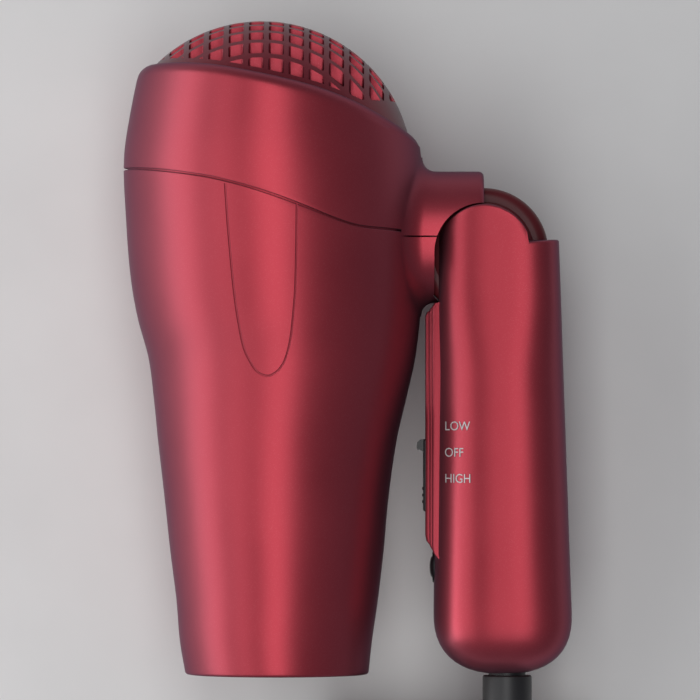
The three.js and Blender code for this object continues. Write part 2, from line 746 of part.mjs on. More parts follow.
// ---------------------------------------------------------------- cord and plug
const floorZ = -Math.max(...barrelStations.map((s) => (s[1] + s[2]) / 2));
const coilLow = floorZ + tieThickness + 0.3; // underside of the coil, which lies on its tie

function strainRelief() {
  const grip = rod(reliefRadius - 1.5, -0.5, 9, 20);
  const collar = rod(reliefRadius - 1.5, 9, 12, 20).add(rod(reliefRadius + 1, 9.4, 11.4, 20));
  const profile = [
    [0, -reliefLength], [reliefTip, -reliefLength], [reliefRadius, -6], [reliefRadius, -0.25], [0, -0.25],
  ];
  const sleeve = turned(profile, 20);
  return wasm.Manifold.union([grip, collar, sleeve]).translate([reliefX, 0, 0]);
}

// The lead from the strain relief down to the surface and round to the coil.
const cordRest = floorZ + cordDiameter / 2 + 0.05;
const cordIn = [
  [reliefX, -34.3, 0],
  [reliefX, -38, 0],
  [reliefX, -43.5, -0.9],
  [reliefX, -50, -3.6],
  [reliefX, -58.5, -10],
  [reliefX, -66.5, -18.4],
  [reliefX, -75, -26.2],
  [55.6, -84, -31.5],
  [53.9, -93, cordRest],
  [50, -101.8, cordRest],
  [43.6, -110, cordRest],
  [34.5, -117.2, cordRest],
  [23, -123.3, cordRest],
];
// The lead from the coil round to the plug.
const plugEntryZ = floorZ + 8;
const cordOut = [
  [-46, -63.2, cordRest],
  [-43.3, -55.7, cordRest],
  [-40.6, -48.2, cordRest],
  [-37.1, -38.6, cordRest],
  [-32.6, -30.8, cordRest + 0.4],
  [-25.7, -25, cordRest + 2],
  [-19.4, -22.3, plugEntryZ - 0.6],
  [-16, -21.6, plugEntryZ - 0.1],
  [-12.5, plugCentre[1], plugEntryZ],
];

function cordCoil() {
  return alongZ(tube(coilOuter, coilInner, coilLow, coilLow + 2 * cordDiameter), ...coilCentre);
}

// The tie goes round the coil's +X side, as a flat band.
function coilTie() {
  const inner = coilInner - 0.8;
  const outer = coilOuter + 0.3;
  const low = coilLow - 0.3;
  const high = low + 2 * cordDiameter + 0.6;
  const band = (grow, reach) => box(inner - grow, outer + grow, -reach, reach, low - grow, high + grow);
  return band(tieThickness, 4).subtract(band(0, 5)).translate([coilCentre[0], coilCentre[1], 0]);
}

// Plug lying beside the coil, with its blades towards +X.
const plugBack = plugCentre[0] - plugLength / 2;
const plugFront = plugCentre[0] + plugLength / 2;
const plugTop = floorZ + plugHeight;
const plugSplit = floorZ + plugHeight / 2;
function roundedBlock(width, depth, y0, y1, corner) {
  const shape = new THREE.Shape();
  const [w, d] = [width / 2, depth / 2];
  shape.moveTo(-w + corner, -d);
  shape.lineTo(w - corner, -d);
  shape.quadraticCurveTo(w, -d, w, -d + corner);
  shape.lineTo(w, d - corner);
  shape.quadraticCurveTo(w, d, w - corner, d);
  shape.lineTo(-w + corner, d);
  shape.quadraticCurveTo(-w, d, -w, d - corner);
  shape.lineTo(-w, -d + corner);
  shape.quadraticCurveTo(-w, -d, -w + corner, -d);
  const depths = { depth: y1 - y0, bevelEnabled: false, curveSegments: 3 };
  const geometry = new THREE.ExtrudeGeometry(shape, depths);
  return solid(geometry).rotate([90, 0, 0]).translate([0, y1, 0]);
}

// A block like that, lying along X on the plug's axis.
function plugBlock(inset, x0, x1, corner) {
  return roundedBlock(plugWidth - 2 * inset, plugHeight - 2 * inset, x0, x1, corner)
    .rotate([0, 0, -90]).translate([0, plugCentre[1], floorZ + plugHeight / 2]);
}

const plugWall = 2;
const buttonPlaces = [plugCentre[0] - 9, plugCentre[0] + 5];
const plugButtonLong = 9;
const plugButtonWide = 6;
const bladeGap = 12.7; // between the blades' middles
const bladeThick = 1.5;
const bladeWide = [7.9, 6.3]; // the wide neutral blade and the live one

function plugHalf(sign) {
  const [low, high] = sign > 0 ? [plugSplit + 0.15, 10] : [floorZ - 5, plugSplit - 0.15];
  const half = box(0, 100, -60, 20, low, high);
  let shell = plugBlock(0, plugBack, plugFront, 4)
    .subtract(plugBlock(plugWall, plugBack + plugWall, plugFront - plugWall, 2));
  shell = shell.subtract(alongX(rod(3.3, plugBack - 3, plugBack + 6, 16), 0, plugCentre[1], plugEntryZ));
  for (const x of buttonPlaces) {
    const [hl, hw] = [plugButtonLong / 2 + clearance, plugButtonWide / 2 + clearance];
    const opening = box(x - hl, x + hl, plugCentre[1] - hw, plugCentre[1] + hw, plugTop - 4, plugTop + 2);
    shell = shell.subtract(opening);
  }
  bladeWide.forEach((wide, i) => {
    const y = plugCentre[1] + (i - 0.5) * bladeGap;
    const [ht, hw] = [bladeThick / 2 + 0.3, wide / 2 + 0.3];
    shell = shell.subtract(box(plugFront - 6, plugFront + 3, y - ht, y + ht, plugSplit - hw, plugSplit + hw));
  });
  return shell.intersect(half);
}

function plugBlade(i) {
  const y = plugCentre[1] + (i - 0.5) * bladeGap;
  const wide = bladeWide[i];
  const blade = box(plugFront - 7, plugFront + bladeLength, y - bladeThick / 2, y + bladeThick / 2,
    plugSplit - wide / 2, plugSplit + wide / 2);
  const holeX = plugFront + bladeLength - 3.6;
  const hole = alongZ(rod(1.5, -20, 20, 10)).rotate([90, 0, 0]).translate([holeX, y, plugSplit]);
  const [low, high] = [plugSplit - wide / 2, plugSplit + wide / 2];
  const root = box(plugFront - 7, plugFront - 3, y - 2.2, y + 2.2, low, high);
  return blade.subtract(hole).add(root);
}

function plugButton(x) {
  const [hl, hw] = [plugButtonLong / 2, plugButtonWide / 2];
  const cap = box(x - hl, x + hl, plugCentre[1] - hw, plugCentre[1] + hw, plugTop - 4.4, plugTop + 1.1);
  const foot = box(x - hl - 0.9, x + hl + 0.9, plugCentre[1] - hw - 0.9, plugCentre[1] + hw + 0.9,
    plugTop - 4.4, plugTop - plugWall - clearance);
  return cap.add(foot);
}

const plugBoardTop = plugSplit + 4.4;
function plugBoard() {
  const [low, high] = [plugCentre[1] - 8.5, plugCentre[1] + 8.5];
  return box(plugBack + 9, plugFront - 9, low, high, plugBoardTop - 1.6, plugBoardTop);
}

function plugButtonSpring(x) {
  const height = plugTop - 4.4 - 0.3 - plugBoardTop - 0.3;
  return alongZ(returnSpring(1.7, height, 3), x, plugCentre[1], plugBoardTop + 0.3);
}

function plugStrainRelief() {
  const profile = [
    [0, -23], [3.9, -23], [5.3, -3], [5.3, -clearance], [3, -clearance], [3, 5], [0, 5],
  ];
  const sleeve = turned(profile, 16);
  return alongX(sleeve, plugBack, plugCentre[1], plugEntryZ);
}

// ---------------------------------------------------------------- assembly
const assemblyMiddle = [-17.55, -79.45]; // the dryer's barrel stands to one side of the origin
const dryer = new THREE.Group();
dryer.position.set(assemblyMiddle[0], assemblyMiddle[1], -floorZ);

function add(name, made, material) {
  dryer.add(nodeOf(name, made, material));
}

add("rear_housing", rearHousing(), satinRed);
add("front_housing", frontHousing(), satinRed);
add("inlet_grille", inletGrille(), satinRed);
add("outlet_grille", outletGrille(), blackPlastic);
add("fan_duct", fanDuct(), blackPlastic);
add("fan_impeller", impeller(), blackPlastic);
add("motor_can", motorCan(), steel);
add("motor_shaft", motorShaft(), steel);
add("motor_end_cap", motorEndCap(), whitePlastic);
add("rectifier_board", rectifierBoard(), board);
[45, 135, 225, 315].forEach((turn, i) => add(`rectifier_diode_${i + 1}`, diode(turn), blackPlastic));
add("thermostat", thermostat(), steel);
add("thermal_fuse", thermalFuse(), whitePlastic);
add("heater_frame", heaterFrame(), mica);
add("heater_coil_front", heaterCoil(14, 36, 5), nichrome);
add("heater_coil_rear", heaterCoil(41, 62, 5), nichrome);
add("heat_shield", heatShield(), mica);
add("hinge_drum", hingeDrum(), deepRed);
add("hinge_washer_upper", hingeWasher(1), blackPlastic);
add("hinge_washer_lower", hingeWasher(-1), blackPlastic);
add("hinge_pin", hingePin(), steel);
add("handle_shell_upper", handleHalfShell(1), satinRed);
add("handle_shell_lower", handleHalfShell(-1), satinRed);
screwPlaces.forEach((place, i) => add(`handle_screw_${i + 1}`, handleScrew(place), steel));
add("speed_switch", switchSlider(), blackPlastic);
add("switch_liner", switchLiner(), blackPlastic);
add("switch_body", switchBody(), blackPlastic);
add("cool_shot_button", coolShotButton(), blackPlastic);
add("cool_shot_bezel", coolShotBezel(), blackPlastic);
add("cool_shot_switch", coolShotSwitch(), blackPlastic);
add("cool_shot_spring", coolShotSpring(), steel);
add("cord_clamp", cordClamp(), whitePlastic);
add("strain_relief", strainRelief(), blackRubber);
add("handle_lead", handleLead(), blackRubber);
add("cord_to_coil", sweep(cordIn, cordDiameter / 2, 8, 16), blackRubber);
add("cord_to_plug", sweep(cordOut, cordDiameter / 2, 8, 10), blackRubber);
add("cord_coil", cordCoil(), blackRubber);
add("cord_tie", coilTie(), blackRubber);
add("plug_case_upper", plugHalf(1), blackPlastic);
add("plug_case_lower", plugHalf(-1), blackPlastic);
["neutral", "live"].forEach((side, i) => add(`plug_blade_${side}`, plugBlade(i), brass));
add("plug_strain_relief", plugStrainRelief(), blackRubber);
add("plug_board", plugBoard(), board);
["test", "reset"].forEach((kind, i) => {
  add(`${kind}_button`, plugButton(buttonPlaces[i]), i ? resetRed : whitePlastic);
  add(`${kind}_button_spring`, plugButtonSpring(buttonPlaces[i]), steel);
});

export default dryer;
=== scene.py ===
"""A folding travel hair dryer lying on its side, with its handle folded against the barrel."""
import json
from math import asin, copysign, cos, pi, radians, sin, sqrt, tan

import bmesh
import bpy
from mathutils import Matrix, Vector
from mathutils.geometry import interpolate_bezier


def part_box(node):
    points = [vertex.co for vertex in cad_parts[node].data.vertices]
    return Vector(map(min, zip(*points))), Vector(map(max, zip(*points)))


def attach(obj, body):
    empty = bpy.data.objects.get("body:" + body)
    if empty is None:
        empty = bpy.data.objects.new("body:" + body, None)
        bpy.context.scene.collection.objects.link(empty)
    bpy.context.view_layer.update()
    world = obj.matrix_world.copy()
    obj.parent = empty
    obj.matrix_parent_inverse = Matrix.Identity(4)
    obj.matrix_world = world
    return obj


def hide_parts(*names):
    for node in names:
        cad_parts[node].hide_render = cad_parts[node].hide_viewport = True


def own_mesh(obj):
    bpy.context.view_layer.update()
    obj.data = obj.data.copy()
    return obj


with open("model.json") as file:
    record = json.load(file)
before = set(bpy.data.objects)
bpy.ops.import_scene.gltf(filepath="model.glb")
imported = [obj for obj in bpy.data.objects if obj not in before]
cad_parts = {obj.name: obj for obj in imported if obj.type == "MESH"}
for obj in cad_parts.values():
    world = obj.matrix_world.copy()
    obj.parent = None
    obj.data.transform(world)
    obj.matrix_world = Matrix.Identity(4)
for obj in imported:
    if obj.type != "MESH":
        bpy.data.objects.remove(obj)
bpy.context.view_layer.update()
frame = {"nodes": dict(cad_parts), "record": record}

MM = 0.001
GAP = 0.35  # mm between pieces that touch


# ---------------- places
# Sizes below are millimetres about the barrel's axis: x towards the handle, y from the nozzle
# to the inlet grille, z up from the middle plane.
low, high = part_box("outlet_grille")
AXIS_X, MIDDLE_Z = (low.x + high.x) / 2, (low.z + high.z) / 2
NOZZLE_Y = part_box("front_housing")[0].y
FLOOR_Z = -MIDDLE_Z / MM  # the surface below, seen from the middle plane


def place(x, y, z=0.0):
    """A point in the frame, in metres, from millimetres about the barrel's axis."""
    return Vector((AXIS_X + x * MM, NOZZLE_Y + y * MM, MIDDLE_Z + z * MM))


def box_mm(node):
    """A CAD node's lowest and highest corner, in millimetres about the barrel's axis."""
    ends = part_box(node)
    return [Vector(((p.x - AXIS_X) / MM, (p.y - NOZZLE_Y) / MM, (p.z - MIDDLE_Z) / MM)) for p in ends]


# ---------------- camera
LENS = 422
VIEW_CENTRE = (17.8, 79.0)
CAMERA_HEIGHT = 2000


def make_camera():
    data = bpy.data.cameras.new("camera")
    data.lens = LENS
    data.sensor_width = 36
    data.clip_end = 20
    camera = bpy.data.objects.new("camera", data)
    bpy.context.scene.collection.objects.link(camera)
    camera.location = place(*VIEW_CENTRE, CAMERA_HEIGHT)
    bpy.context.scene.camera = camera


make_camera()


# ---------------- mesh helpers
TOUCH = 0.001  # mm: the radius that stands for a lathe's middle
SAME_SPOT = 1e-7  # metres
BEYOND = 30  # mm, past whatever is being cut


def linked(name, data):
    """A new object of that data, in the scene."""
    obj = bpy.data.objects.new(name, data)
    bpy.context.scene.collection.objects.link(obj)
    return obj


def plain_mesh(obj):
    """A new mesh of the object as it is now, with its modifiers."""
    bpy.context.view_layer.update()
    return bpy.data.meshes.new_from_object(obj.evaluated_get(bpy.context.evaluated_depsgraph_get()))


def shade(mesh, sharp=35):
    """Smooth shading, apart from edges sharper than the angle."""
    mesh.shade_smooth()
    mesh.set_sharp_from_angle(angle=radians(sharp))


def apply_step(obj, step):
    """Makes the modifier's result the object's own mesh."""
    result = plain_mesh(obj)
    obj.modifiers.remove(step)
    obj.data = result
    shade(result)


def finish_mesh(name, mesh, sharp=35):
    """An object of that mesh, with its faces pointing out."""
    work = bmesh.new()
    work.from_mesh(mesh)
    bmesh.ops.remove_doubles(work, verts=work.verts, dist=SAME_SPOT)
    bmesh.ops.recalc_face_normals(work, faces=work.faces)
    work.to_mesh(mesh)
    work.free()
    shade(mesh, sharp)
    return linked(name, mesh)


def loops_object(name, loops, sharp=35, ends=True):
    """Skins loops of points (mm), each as long as the last, with quads, and closes the ends."""
    count = len(loops[0])
    mesh = bpy.data.meshes.new(name)
    points = [place(*p) for loop in loops for p in loop]
    faces = []
    for k in range(len(loops) - 1):
        a, b = k * count, (k + 1) * count
        for i in range(count):
            j = (i + 1) % count
            faces.append((a + i, a + j, b + j, b + i))
    if ends:
        faces.append(tuple(range(count)))
        faces.append(tuple(range((len(loops) - 1) * count, len(loops) * count)))
    mesh.from_pydata(points, [], faces)
    return finish_mesh(name, mesh, sharp)


def rings_closed(name, loops, sharp=35):
    """Like loops_object, but the last loop joins the first, as on a ring's section."""
    return loops_object(name, loops + [loops[0]], sharp, ends=False)


def lathe(name, profile, axis, centre=(0, 0, 0), steps=96, sharp=35):
    """Turns a closed profile of (radius, along) points about an axis through centre."""
    x, y, z = centre
    loops = []
    for k in range(steps + 1):
        turn = 2 * pi * k / steps
        c, s = cos(turn), sin(turn)
        if axis == "x":
            loop = [(x + a, y + r * c, z + r * s) for r, a in profile]
        elif axis == "y":
            loop = [(x + r * c, y + a, z + r * s) for r, a in profile]
        else:
            loop = [(x + r * c, y + r * s, z + a) for r, a in profile]
        loops.append(loop)
    return loops_object(name, loops, sharp, ends=False)


def rod(radius, low, high, bore=TOUCH):
    """A rod's profile for the lathe, or a tube's."""
    return [(bore, low), (radius, low), (radius, high), (bore, high)]


def outline_solid(name, outline, low, high):
    """An outline of (x, y) points between two heights."""
    return loops_object(name, [[(x, y, z) for x, y in outline] for z in (low, high)])


def block(name, lowest, highest):
    """A plain box to cut with."""
    (left, front, low), (right, back, high) = lowest, highest
    return outline_solid(name, [(left, front), (right, front), (right, back), (left, back)], low, high)


def rounded_box(name, lowest, highest, radius, steps=3):
    """A box with all its edges rounded, between two corners in mm."""
    work = bmesh.new()
    bmesh.ops.create_cube(work, size=1)
    for vert in work.verts:
        spot = [lowest[i] if vert.co[i] < 0 else highest[i] for i in range(3)]
        vert.co = place(*spot)
    bmesh.ops.bevel(
        work, geom=work.edges[:], offset=radius * MM, segments=steps, profile=0.5, affect="EDGES")
    mesh = bpy.data.meshes.new(name)
    work.to_mesh(mesh)
    work.free()
    return finish_mesh(name, mesh, 50)


def combine(obj, other, how="DIFFERENCE"):
    """Cuts other from obj, or joins it on, and removes other."""
    step = obj.modifiers.new("combine", "BOOLEAN")
    step.operation = how
    step.object = other
    step.solver = "MANIFOLD"
    apply_step(obj, step)
    bpy.data.objects.remove(other)
    return obj


def joined(name, objs):
    """One object of several, in one mesh."""
    work = bmesh.new()
    for obj in objs:
        work.from_mesh(obj.data)
        bpy.data.objects.remove(obj)
    mesh = bpy.data.meshes.new(name)
    work.to_mesh(mesh)
    work.free()
    return finish_mesh(name, mesh)


def keep(obj, body, slot, nodes=(), material=None):
    """Gives a finished piece its material and its body, and hides the CAD nodes that it stands for."""
    obj.data.materials.clear()
    obj.data.materials.append(material or SLOTS[slot])
    if nodes:
        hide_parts(*nodes)
    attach(obj, body)
    return obj


def hermite(t, start, start_slope, end, end_slope):
    """From start to end as t goes from 0 to 1, with those slopes at its ends."""
    return (start * (2 * t ** 3 - 3 * t ** 2 + 1) + start_slope * (t ** 3 - 2 * t ** 2 + t)
            + end * (3 * t ** 2 - 2 * t ** 3) + end_slope * (t ** 3 - t ** 2))


def smooth_through(points):
    """A function of the first value that runs smoothly through the points."""
    xs = [p[0] for p in points]
    ys = [p[1] for p in points]
    last = len(xs) - 1
    slopes = []
    for i in range(len(xs)):
        a, b = max(i - 1, 0), min(i + 1, last)
        slopes.append((ys[b] - ys[a]) / (xs[b] - xs[a]))

    def value(x):
        if x <= xs[0]:
            return ys[0] + slopes[0] * (x - xs[0])
        if x >= xs[last]:
            return ys[last] + slopes[last] * (x - xs[last])
        i = max(k for k in range(last) if xs[k] <= x)
        span = xs[i + 1] - xs[i]
        return hermite((x - xs[i]) / span, ys[i], span * slopes[i], ys[i + 1], span * slopes[i + 1])

    return value


def interpolate_spline(points, steps):
    """More points on a smooth line through the given ones (Catmull-Rom)."""
    spots = [Vector(p) for p in points]
    last = len(spots) - 1
    dense = []
    for i in range(last):
        a, b = spots[i], spots[i + 1]
        start_slope, end_slope = (b - spots[max(i - 1, 0)]) / 2, (spots[min(i + 2, last)] - a) / 2
        dense += [hermite(k / steps, a, start_slope, b, end_slope) for k in range(steps)]
    return dense + [spots[-1]]


def tube_along(name, points, radius, sides=12):
    """A closed tube along a line of points, in mm."""
    spots = [Vector(p) for p in points]
    last = len(spots) - 1
    turns = [2 * pi * k / sides for k in range(sides)]
    across = (spots[1] - spots[0]).normalized().orthogonal()
    loops = []
    for i, spot in enumerate(spots):
        ahead = (spots[min(i + 1, last)] - spots[max(i - 1, 0)]).normalized()
        across = (across - ahead * across.dot(ahead)).normalized()
        up = ahead.cross(across)
        loops.append([tuple(spot + (across * cos(t) + up * sin(t)) * radius) for t in turns])
    return loops_object(name, loops, 60)


def step_smooth(low, high, x):
    """From 0 at low to 1 at high, level at both."""
    t = min(1.0, max(0.0, (x - low) / (high - low)))
    return t * t * (3 - 2 * t)


def corner(radius, steps=4):
    """(in, along) points round a quarter circle, from the outer face to the end face."""
    turns = [pi / 2 * k / steps for k in range(steps + 1)]
    return [(radius * (1 - cos(t)), -radius * (1 - sin(t))) for t in turns]


# ---------------- node trees
def new_tree(kind, name, inputs, outputs):
    """An empty node group. Each socket is its label, its kind and, if it has one, its usual value."""
    tree = bpy.data.node_groups.new(name, kind)
    for side, sockets in (("INPUT", inputs), ("OUTPUT", outputs)):
        for label, socket_kind, *usual in sockets:
            socket = tree.interface.new_socket(label, in_out=side, socket_type="NodeSocket" + socket_kind)
            if usual:
                socket.default_value = usual[0]
    return tree


def fill_tree(tree, nodes, settings, values, wires, given=()):
    """Adds nodes to a tree, named under their kinds, and sets and joins them. The keys of settings are
    "node.attribute", those of values are "node.Socket", and the wires are "node.Socket > node.Socket",
    where a number is a socket's place. given holds the nodes that are there already."""
    made = dict(given)
    for kind, names in nodes.items():
        made |= {name: tree.nodes.new(kind) for name in names.split()}

    def at(where):
        name, label = where.split(".")
        return made[name], int(label) if label.isdigit() else label

    for where, value in settings.items():
        setattr(*at(where), value)
    for where, value in values.items():
        node, label = at(where)
        node.inputs[label].default_value = value
    for wire in wires.split(", "):
        (start, outlet), (end, inlet) = [at(where) for where in wire.split(" > ")]
        tree.links.new(start.outputs[outlet], end.inputs[inlet])
    return tree


def shader_group(name, inputs, outputs, nodes, settings, values, wires):
    nodes |= {"NodeGroupInput": "given", "NodeGroupOutput": "out"}
    return fill_tree(new_tree("ShaderNodeTree", name, inputs, outputs), nodes, settings, values, wires)


def geometry_group(name, inputs, nodes, settings, values, wires):
    """A tree that ends by making its instances real, from the node last, and giving them a material."""
    geometry = [("Geometry", "Geometry")]
    tree = new_tree("GeometryNodeTree", name, geometry + inputs + [("Material", "Material")], geometry)
    nodes |= {"NodeGroupInput": "given", "NodeGroupOutput": "out", "GeometryNodeSetMaterial": "paint"}
    wires += (", last.Geometry > paint.Geometry, given.Material > paint.Material, "
              "paint.Geometry > out.Geometry")
    return fill_tree(tree, nodes, settings, values, wires)


def make_grain_group():
    """Cloudy variation over a surface with a fine tooth: a mask from 0 to 1, and a height."""
    return shader_group(
        "grain", [("Cloud Scale", "Float"), ("Tooth Scale", "Float")],
        [("Mask", "Float"), ("Height", "Float")],
        {"ShaderNodeTexCoord": "where", "ShaderNodeTexNoise": "cloud tooth", "ShaderNodeMapRange": "spread"},
        {},
        {"cloud.Detail": 3, "tooth.Detail": 1, "spread.From Min": 0.3, "spread.From Max": 0.7},
        "where.Object > cloud.Vector, where.Object > tooth.Vector, given.Cloud Scale > cloud.Scale, "
        "given.Tooth Scale > tooth.Scale, cloud.Fac > spread.Value, spread.Result > out.Mask, "
        "tooth.Fac > out.Height")


def make_fleck_group():
    """Sparse small specks, as of metal flake in a lacquer or lint on rubber: a mask from 0 to 1."""
    return shader_group(
        "flecks", [("Scale", "Float", 2500.0), ("Size", "Float", 0.25)], [("Mask", "Float")],
        {"ShaderNodeTexCoord": "where", "ShaderNodeTexVoronoi": "cells", "ShaderNodeMath": "inside"},
        {"inside.operation": "LESS_THAN"},
        {},
        "where.Object > cells.Vector, given.Scale > cells.Scale, cells.Distance > inside.0, "
        "given.Size > inside.1, inside.Value > out.Mask")


def make_lattice_tree():
    """Cuts a square lattice of openings through a shell, along y, inside the reach of another solid."""
    wires = (
        "grid.Mesh > stand.Geometry, given.Middle > stand.Translation, given.Opening > opening.Object, "
        "given.Reach > reach.Object, stand.Geometry > spread.Points, opening.Geometry > spread.Instance, "
        "spread.Instances > real.Geometry, real.Geometry > within.Mesh 2, "
        "reach.Geometry > within.Mesh 2, given.Geometry > cut.Mesh 1, within.Mesh > cut.Mesh 2, "
        "cut.Mesh > last.Geometry")
    for count, side in (("Columns", "X"), ("Rows", "Y")):
        wires += (f", given.{count} > less{side}.0, less{side}.Value > across{side}.0, "
                  f"given.Pitch > across{side}.1, across{side}.Value > grid.Size {side}, "
                  f"given.{count} > grid.Vertices {side}")
    return geometry_group(
        "lattice", [("Opening", "Object"), ("Reach", "Object"), ("Pitch", "Float"), ("Columns", "Int"),
                    ("Rows", "Int"), ("Middle", "Vector")],
        {"GeometryNodeMeshGrid": "grid", "GeometryNodeTransform": "stand",
         "GeometryNodeObjectInfo": "opening reach", "GeometryNodeInstanceOnPoints": "spread",
         "GeometryNodeRealizeInstances": "real last", "GeometryNodeMeshBoolean": "within cut",
         "ShaderNodeMath": "lessX lessY acrossX acrossY"},
        {"within.operation": "INTERSECT", "within.solver": "MANIFOLD", "cut.operation": "DIFFERENCE",
         "cut.solver": "MANIFOLD", "lessX.operation": "SUBTRACT", "lessY.operation": "SUBTRACT",
         "acrossX.operation": "MULTIPLY", "acrossY.operation": "MULTIPLY"},
        {"stand.Rotation": (pi / 2, 0, 0), "lessX.1": 1, "lessY.1": 1},
        wires)


def make_ring_tree():
    """Copies a piece evenly round an axis along y."""
    return geometry_group(
        "ring_of", [("Piece", "Object"), ("Count", "Int"), ("Middle", "Vector")],
        {"GeometryNodeMeshLine": "line", "GeometryNodeObjectInfo": "piece",
         "GeometryNodeInputIndex": "index", "ShaderNodeMath": "share turn",
         "ShaderNodeCombineXYZ": "spin", "GeometryNodeInstanceOnPoints": "spread",
         "GeometryNodeTransform": "move", "GeometryNodeJoinGeometry": "both",
         "GeometryNodeRealizeInstances": "last"},
        {"share.operation": "DIVIDE", "turn.operation": "MULTIPLY"},
        {"line.Offset": (0, 0, 0), "turn.1": 2 * pi},
        "given.Count > line.Count, given.Piece > piece.Object, index.Index > share.0, "
        "given.Count > share.1, share.Value > turn.0, turn.Value > spin.Y, line.Mesh > spread.Points, "
        "piece.Geometry > spread.Instance, spin.Vector > spread.Rotation, "
        "spread.Instances > move.Geometry, given.Middle > move.Translation, "
        "given.Geometry > both.Geometry, move.Geometry > both.Geometry, both.Geometry > last.Geometry")


def grown(obj, tree, helpers, values):
    """The tree's result on obj, as obj's own plain mesh. The helpers are inputs too, and are removed."""
    given = {**helpers, **values}
    step = obj.modifiers.new("grow", "NODES")
    step.node_group = tree
    for item in tree.interface.items_tree:
        if item.in_out == "INPUT" and item.name in given:
            step[item.identifier] = given[item.name]
    apply_step(obj, step)
    for helper in helpers.values():
        bpy.data.objects.remove(helper)
    return obj


GRAIN = make_grain_group()
FLECKS = make_fleck_group()
LATTICE = make_lattice_tree()
RING_OF = make_ring_tree()


# ---------------- materials
FLECK_COLOUR = (0.5, 0.4, 0.4, 1)
TOOTH_HEIGHT = 0.0002


def make_material(name, dark, light, roughness, metallic=0.0, tooth=0.02, edge=None, fleck=0.0,
                  cloud_scale=30.0, tooth_scale=1500.0, specular=0.5, tint=(1, 1, 1)):
    """A procedural finish: two colours clouded together, a roughness range and a fine tooth. edge is
    a painted shade, mixed into the base colour towards grazing angles in place of reflected dark
    surroundings."""
    material = bpy.data.materials.new(name)
    material.use_nodes = True
    tree = material.node_tree
    groups, mixes, others = "grain", "colour", {"ShaderNodeMapRange": "rough", "ShaderNodeBump": "bump"}
    settings = {"grain.node_tree": GRAIN, "colour.data_type": "RGBA"}
    values = {"grain.Cloud Scale": cloud_scale, "grain.Tooth Scale": tooth_scale,
              "colour.A": (*dark, 1), "colour.B": (*light, 1),
              "rough.To Min": roughness[0], "rough.To Max": roughness[1],
              "bump.Strength": tooth, "bump.Distance": TOOTH_HEIGHT, "shader.Metallic": metallic,
              "shader.Specular IOR Level": specular, "shader.Specular Tint": (*tint, 1)}
    wires = ("grain.Mask > colour.Factor, grain.Mask > rough.Value, rough.Result > shader.Roughness, "
             "grain.Height > bump.Height, bump.Normal > shader.Normal, ")
    last = "colour.Result"
    if fleck:
        groups, mixes, others["ShaderNodeMath"] = groups + " flecks", mixes + " lighter", "strength"
        settings |= {"flecks.node_tree": FLECKS, "strength.operation": "MULTIPLY",
                     "lighter.data_type": "RGBA", "lighter.blend_type": "ADD"}
        values |= {"strength.1": fleck, "lighter.B": FLECK_COLOUR}
        wires += f"flecks.Mask > strength.0, strength.Value > lighter.Factor, {last} > lighter.A, "
        last = "lighter.Result"
    # Painted shade: the edge colour is mixed in towards grazing angles, standing in for the reflection of
    # dark surroundings.
    if edge:
        mixes, others["ShaderNodeLayerWeight"] = mixes + " turn", "facing"
        settings["turn.data_type"] = "RGBA"
        values |= {"facing.Blend": 0.5, "turn.B": (*edge, 1)}
        wires += f"facing.Facing > turn.Factor, {last} > turn.A, "
        last = "turn.Result"
    fill_tree(tree, {"ShaderNodeGroup": groups, "ShaderNodeMix": mixes} | others, settings, values,
              wires + last + " > shader.Base Color", {"shader": tree.nodes["Principled BSDF"]})
    return material


SLOTS = {
    # The red lacquer's edge colour is painted shade at grazing angles, standing in for reflected dark
    # surroundings.
    "red_shell": make_material(
        "red_lacquer", (0.39, 0.042, 0.058), (0.44, 0.05, 0.068), (0.37, 0.42), 0.75,
        edge=(0.19, 0.1, 0.135), fleck=0.05, tint=(0.42, 0.3, 0.38)),
    # The grille's red is darker than the housing's: painted shade for the ribs' dark reflection. Its edge
    # colour is a darker painted shade at grazing angles.
    "grille_red": make_material(
        "red_grille", (0.28, 0.024, 0.038), (0.34, 0.03, 0.046), (0.36, 0.42), 0.7,
        edge=(0.09, 0.04, 0.055), fleck=0.05),
    "hinge_maroon": make_material(
        "maroon_plastic", (0.1, 0.012, 0.016), (0.13, 0.015, 0.02), (0.34, 0.42), specular=0.25),
    "black_plastic": make_material(
        "black_plastic", (0.012, 0.012, 0.012), (0.02, 0.02, 0.02), (0.4, 0.5), tooth=0.08),
    "black_gloss": make_material(
        "black_gloss", (0.008, 0.008, 0.009), (0.014, 0.014, 0.015), (0.2, 0.28), specular=0.3),
    "black_cord": make_material(
        "black_vinyl", (0.014, 0.014, 0.015), (0.026, 0.026, 0.028), (0.42, 0.55), tooth=0.06, fleck=0.01),
    "steel": make_material(
        "plain_steel", (0.42, 0.42, 0.43), (0.55, 0.55, 0.57), (0.24, 0.38), 1.0, tooth_scale=900.0),
    "brass": make_material("plain_brass", (0.50, 0.36, 0.13), (0.62, 0.46, 0.19), (0.22, 0.36), 1.0),
    "mica": make_material(
        "pressed_mica", (0.42, 0.35, 0.24), (0.62, 0.55, 0.42), (0.45, 0.65), fleck=0.15,
        cloud_scale=90.0, tooth=0.15),
    "heating_wire": make_material(
        "resistance_wire", (0.22, 0.19, 0.17), (0.38, 0.35, 0.33), (0.3, 0.45), 1.0),
    "board": make_material("printed_board", (0.22, 0.15, 0.05), (0.32, 0.23, 0.09), (0.45, 0.6)),
    "white_plastic": make_material("white_plastic", (0.66, 0.64, 0.58), (0.76, 0.74, 0.69), (0.4, 0.5)),
    "reset_red": make_material("red_plastic", (0.42, 0.025, 0.018), (0.5, 0.035, 0.025), (0.35, 0.45)),
}
PRINT = make_material("grey_print", (0.60, 0.58, 0.58), (0.68, 0.66, 0.66), (0.35, 0.45), 0.2)


# ---------------- floor and light
FLOOR_HALF = 3000
AMBIENT = (0.13, 0.13, 0.15, 1)


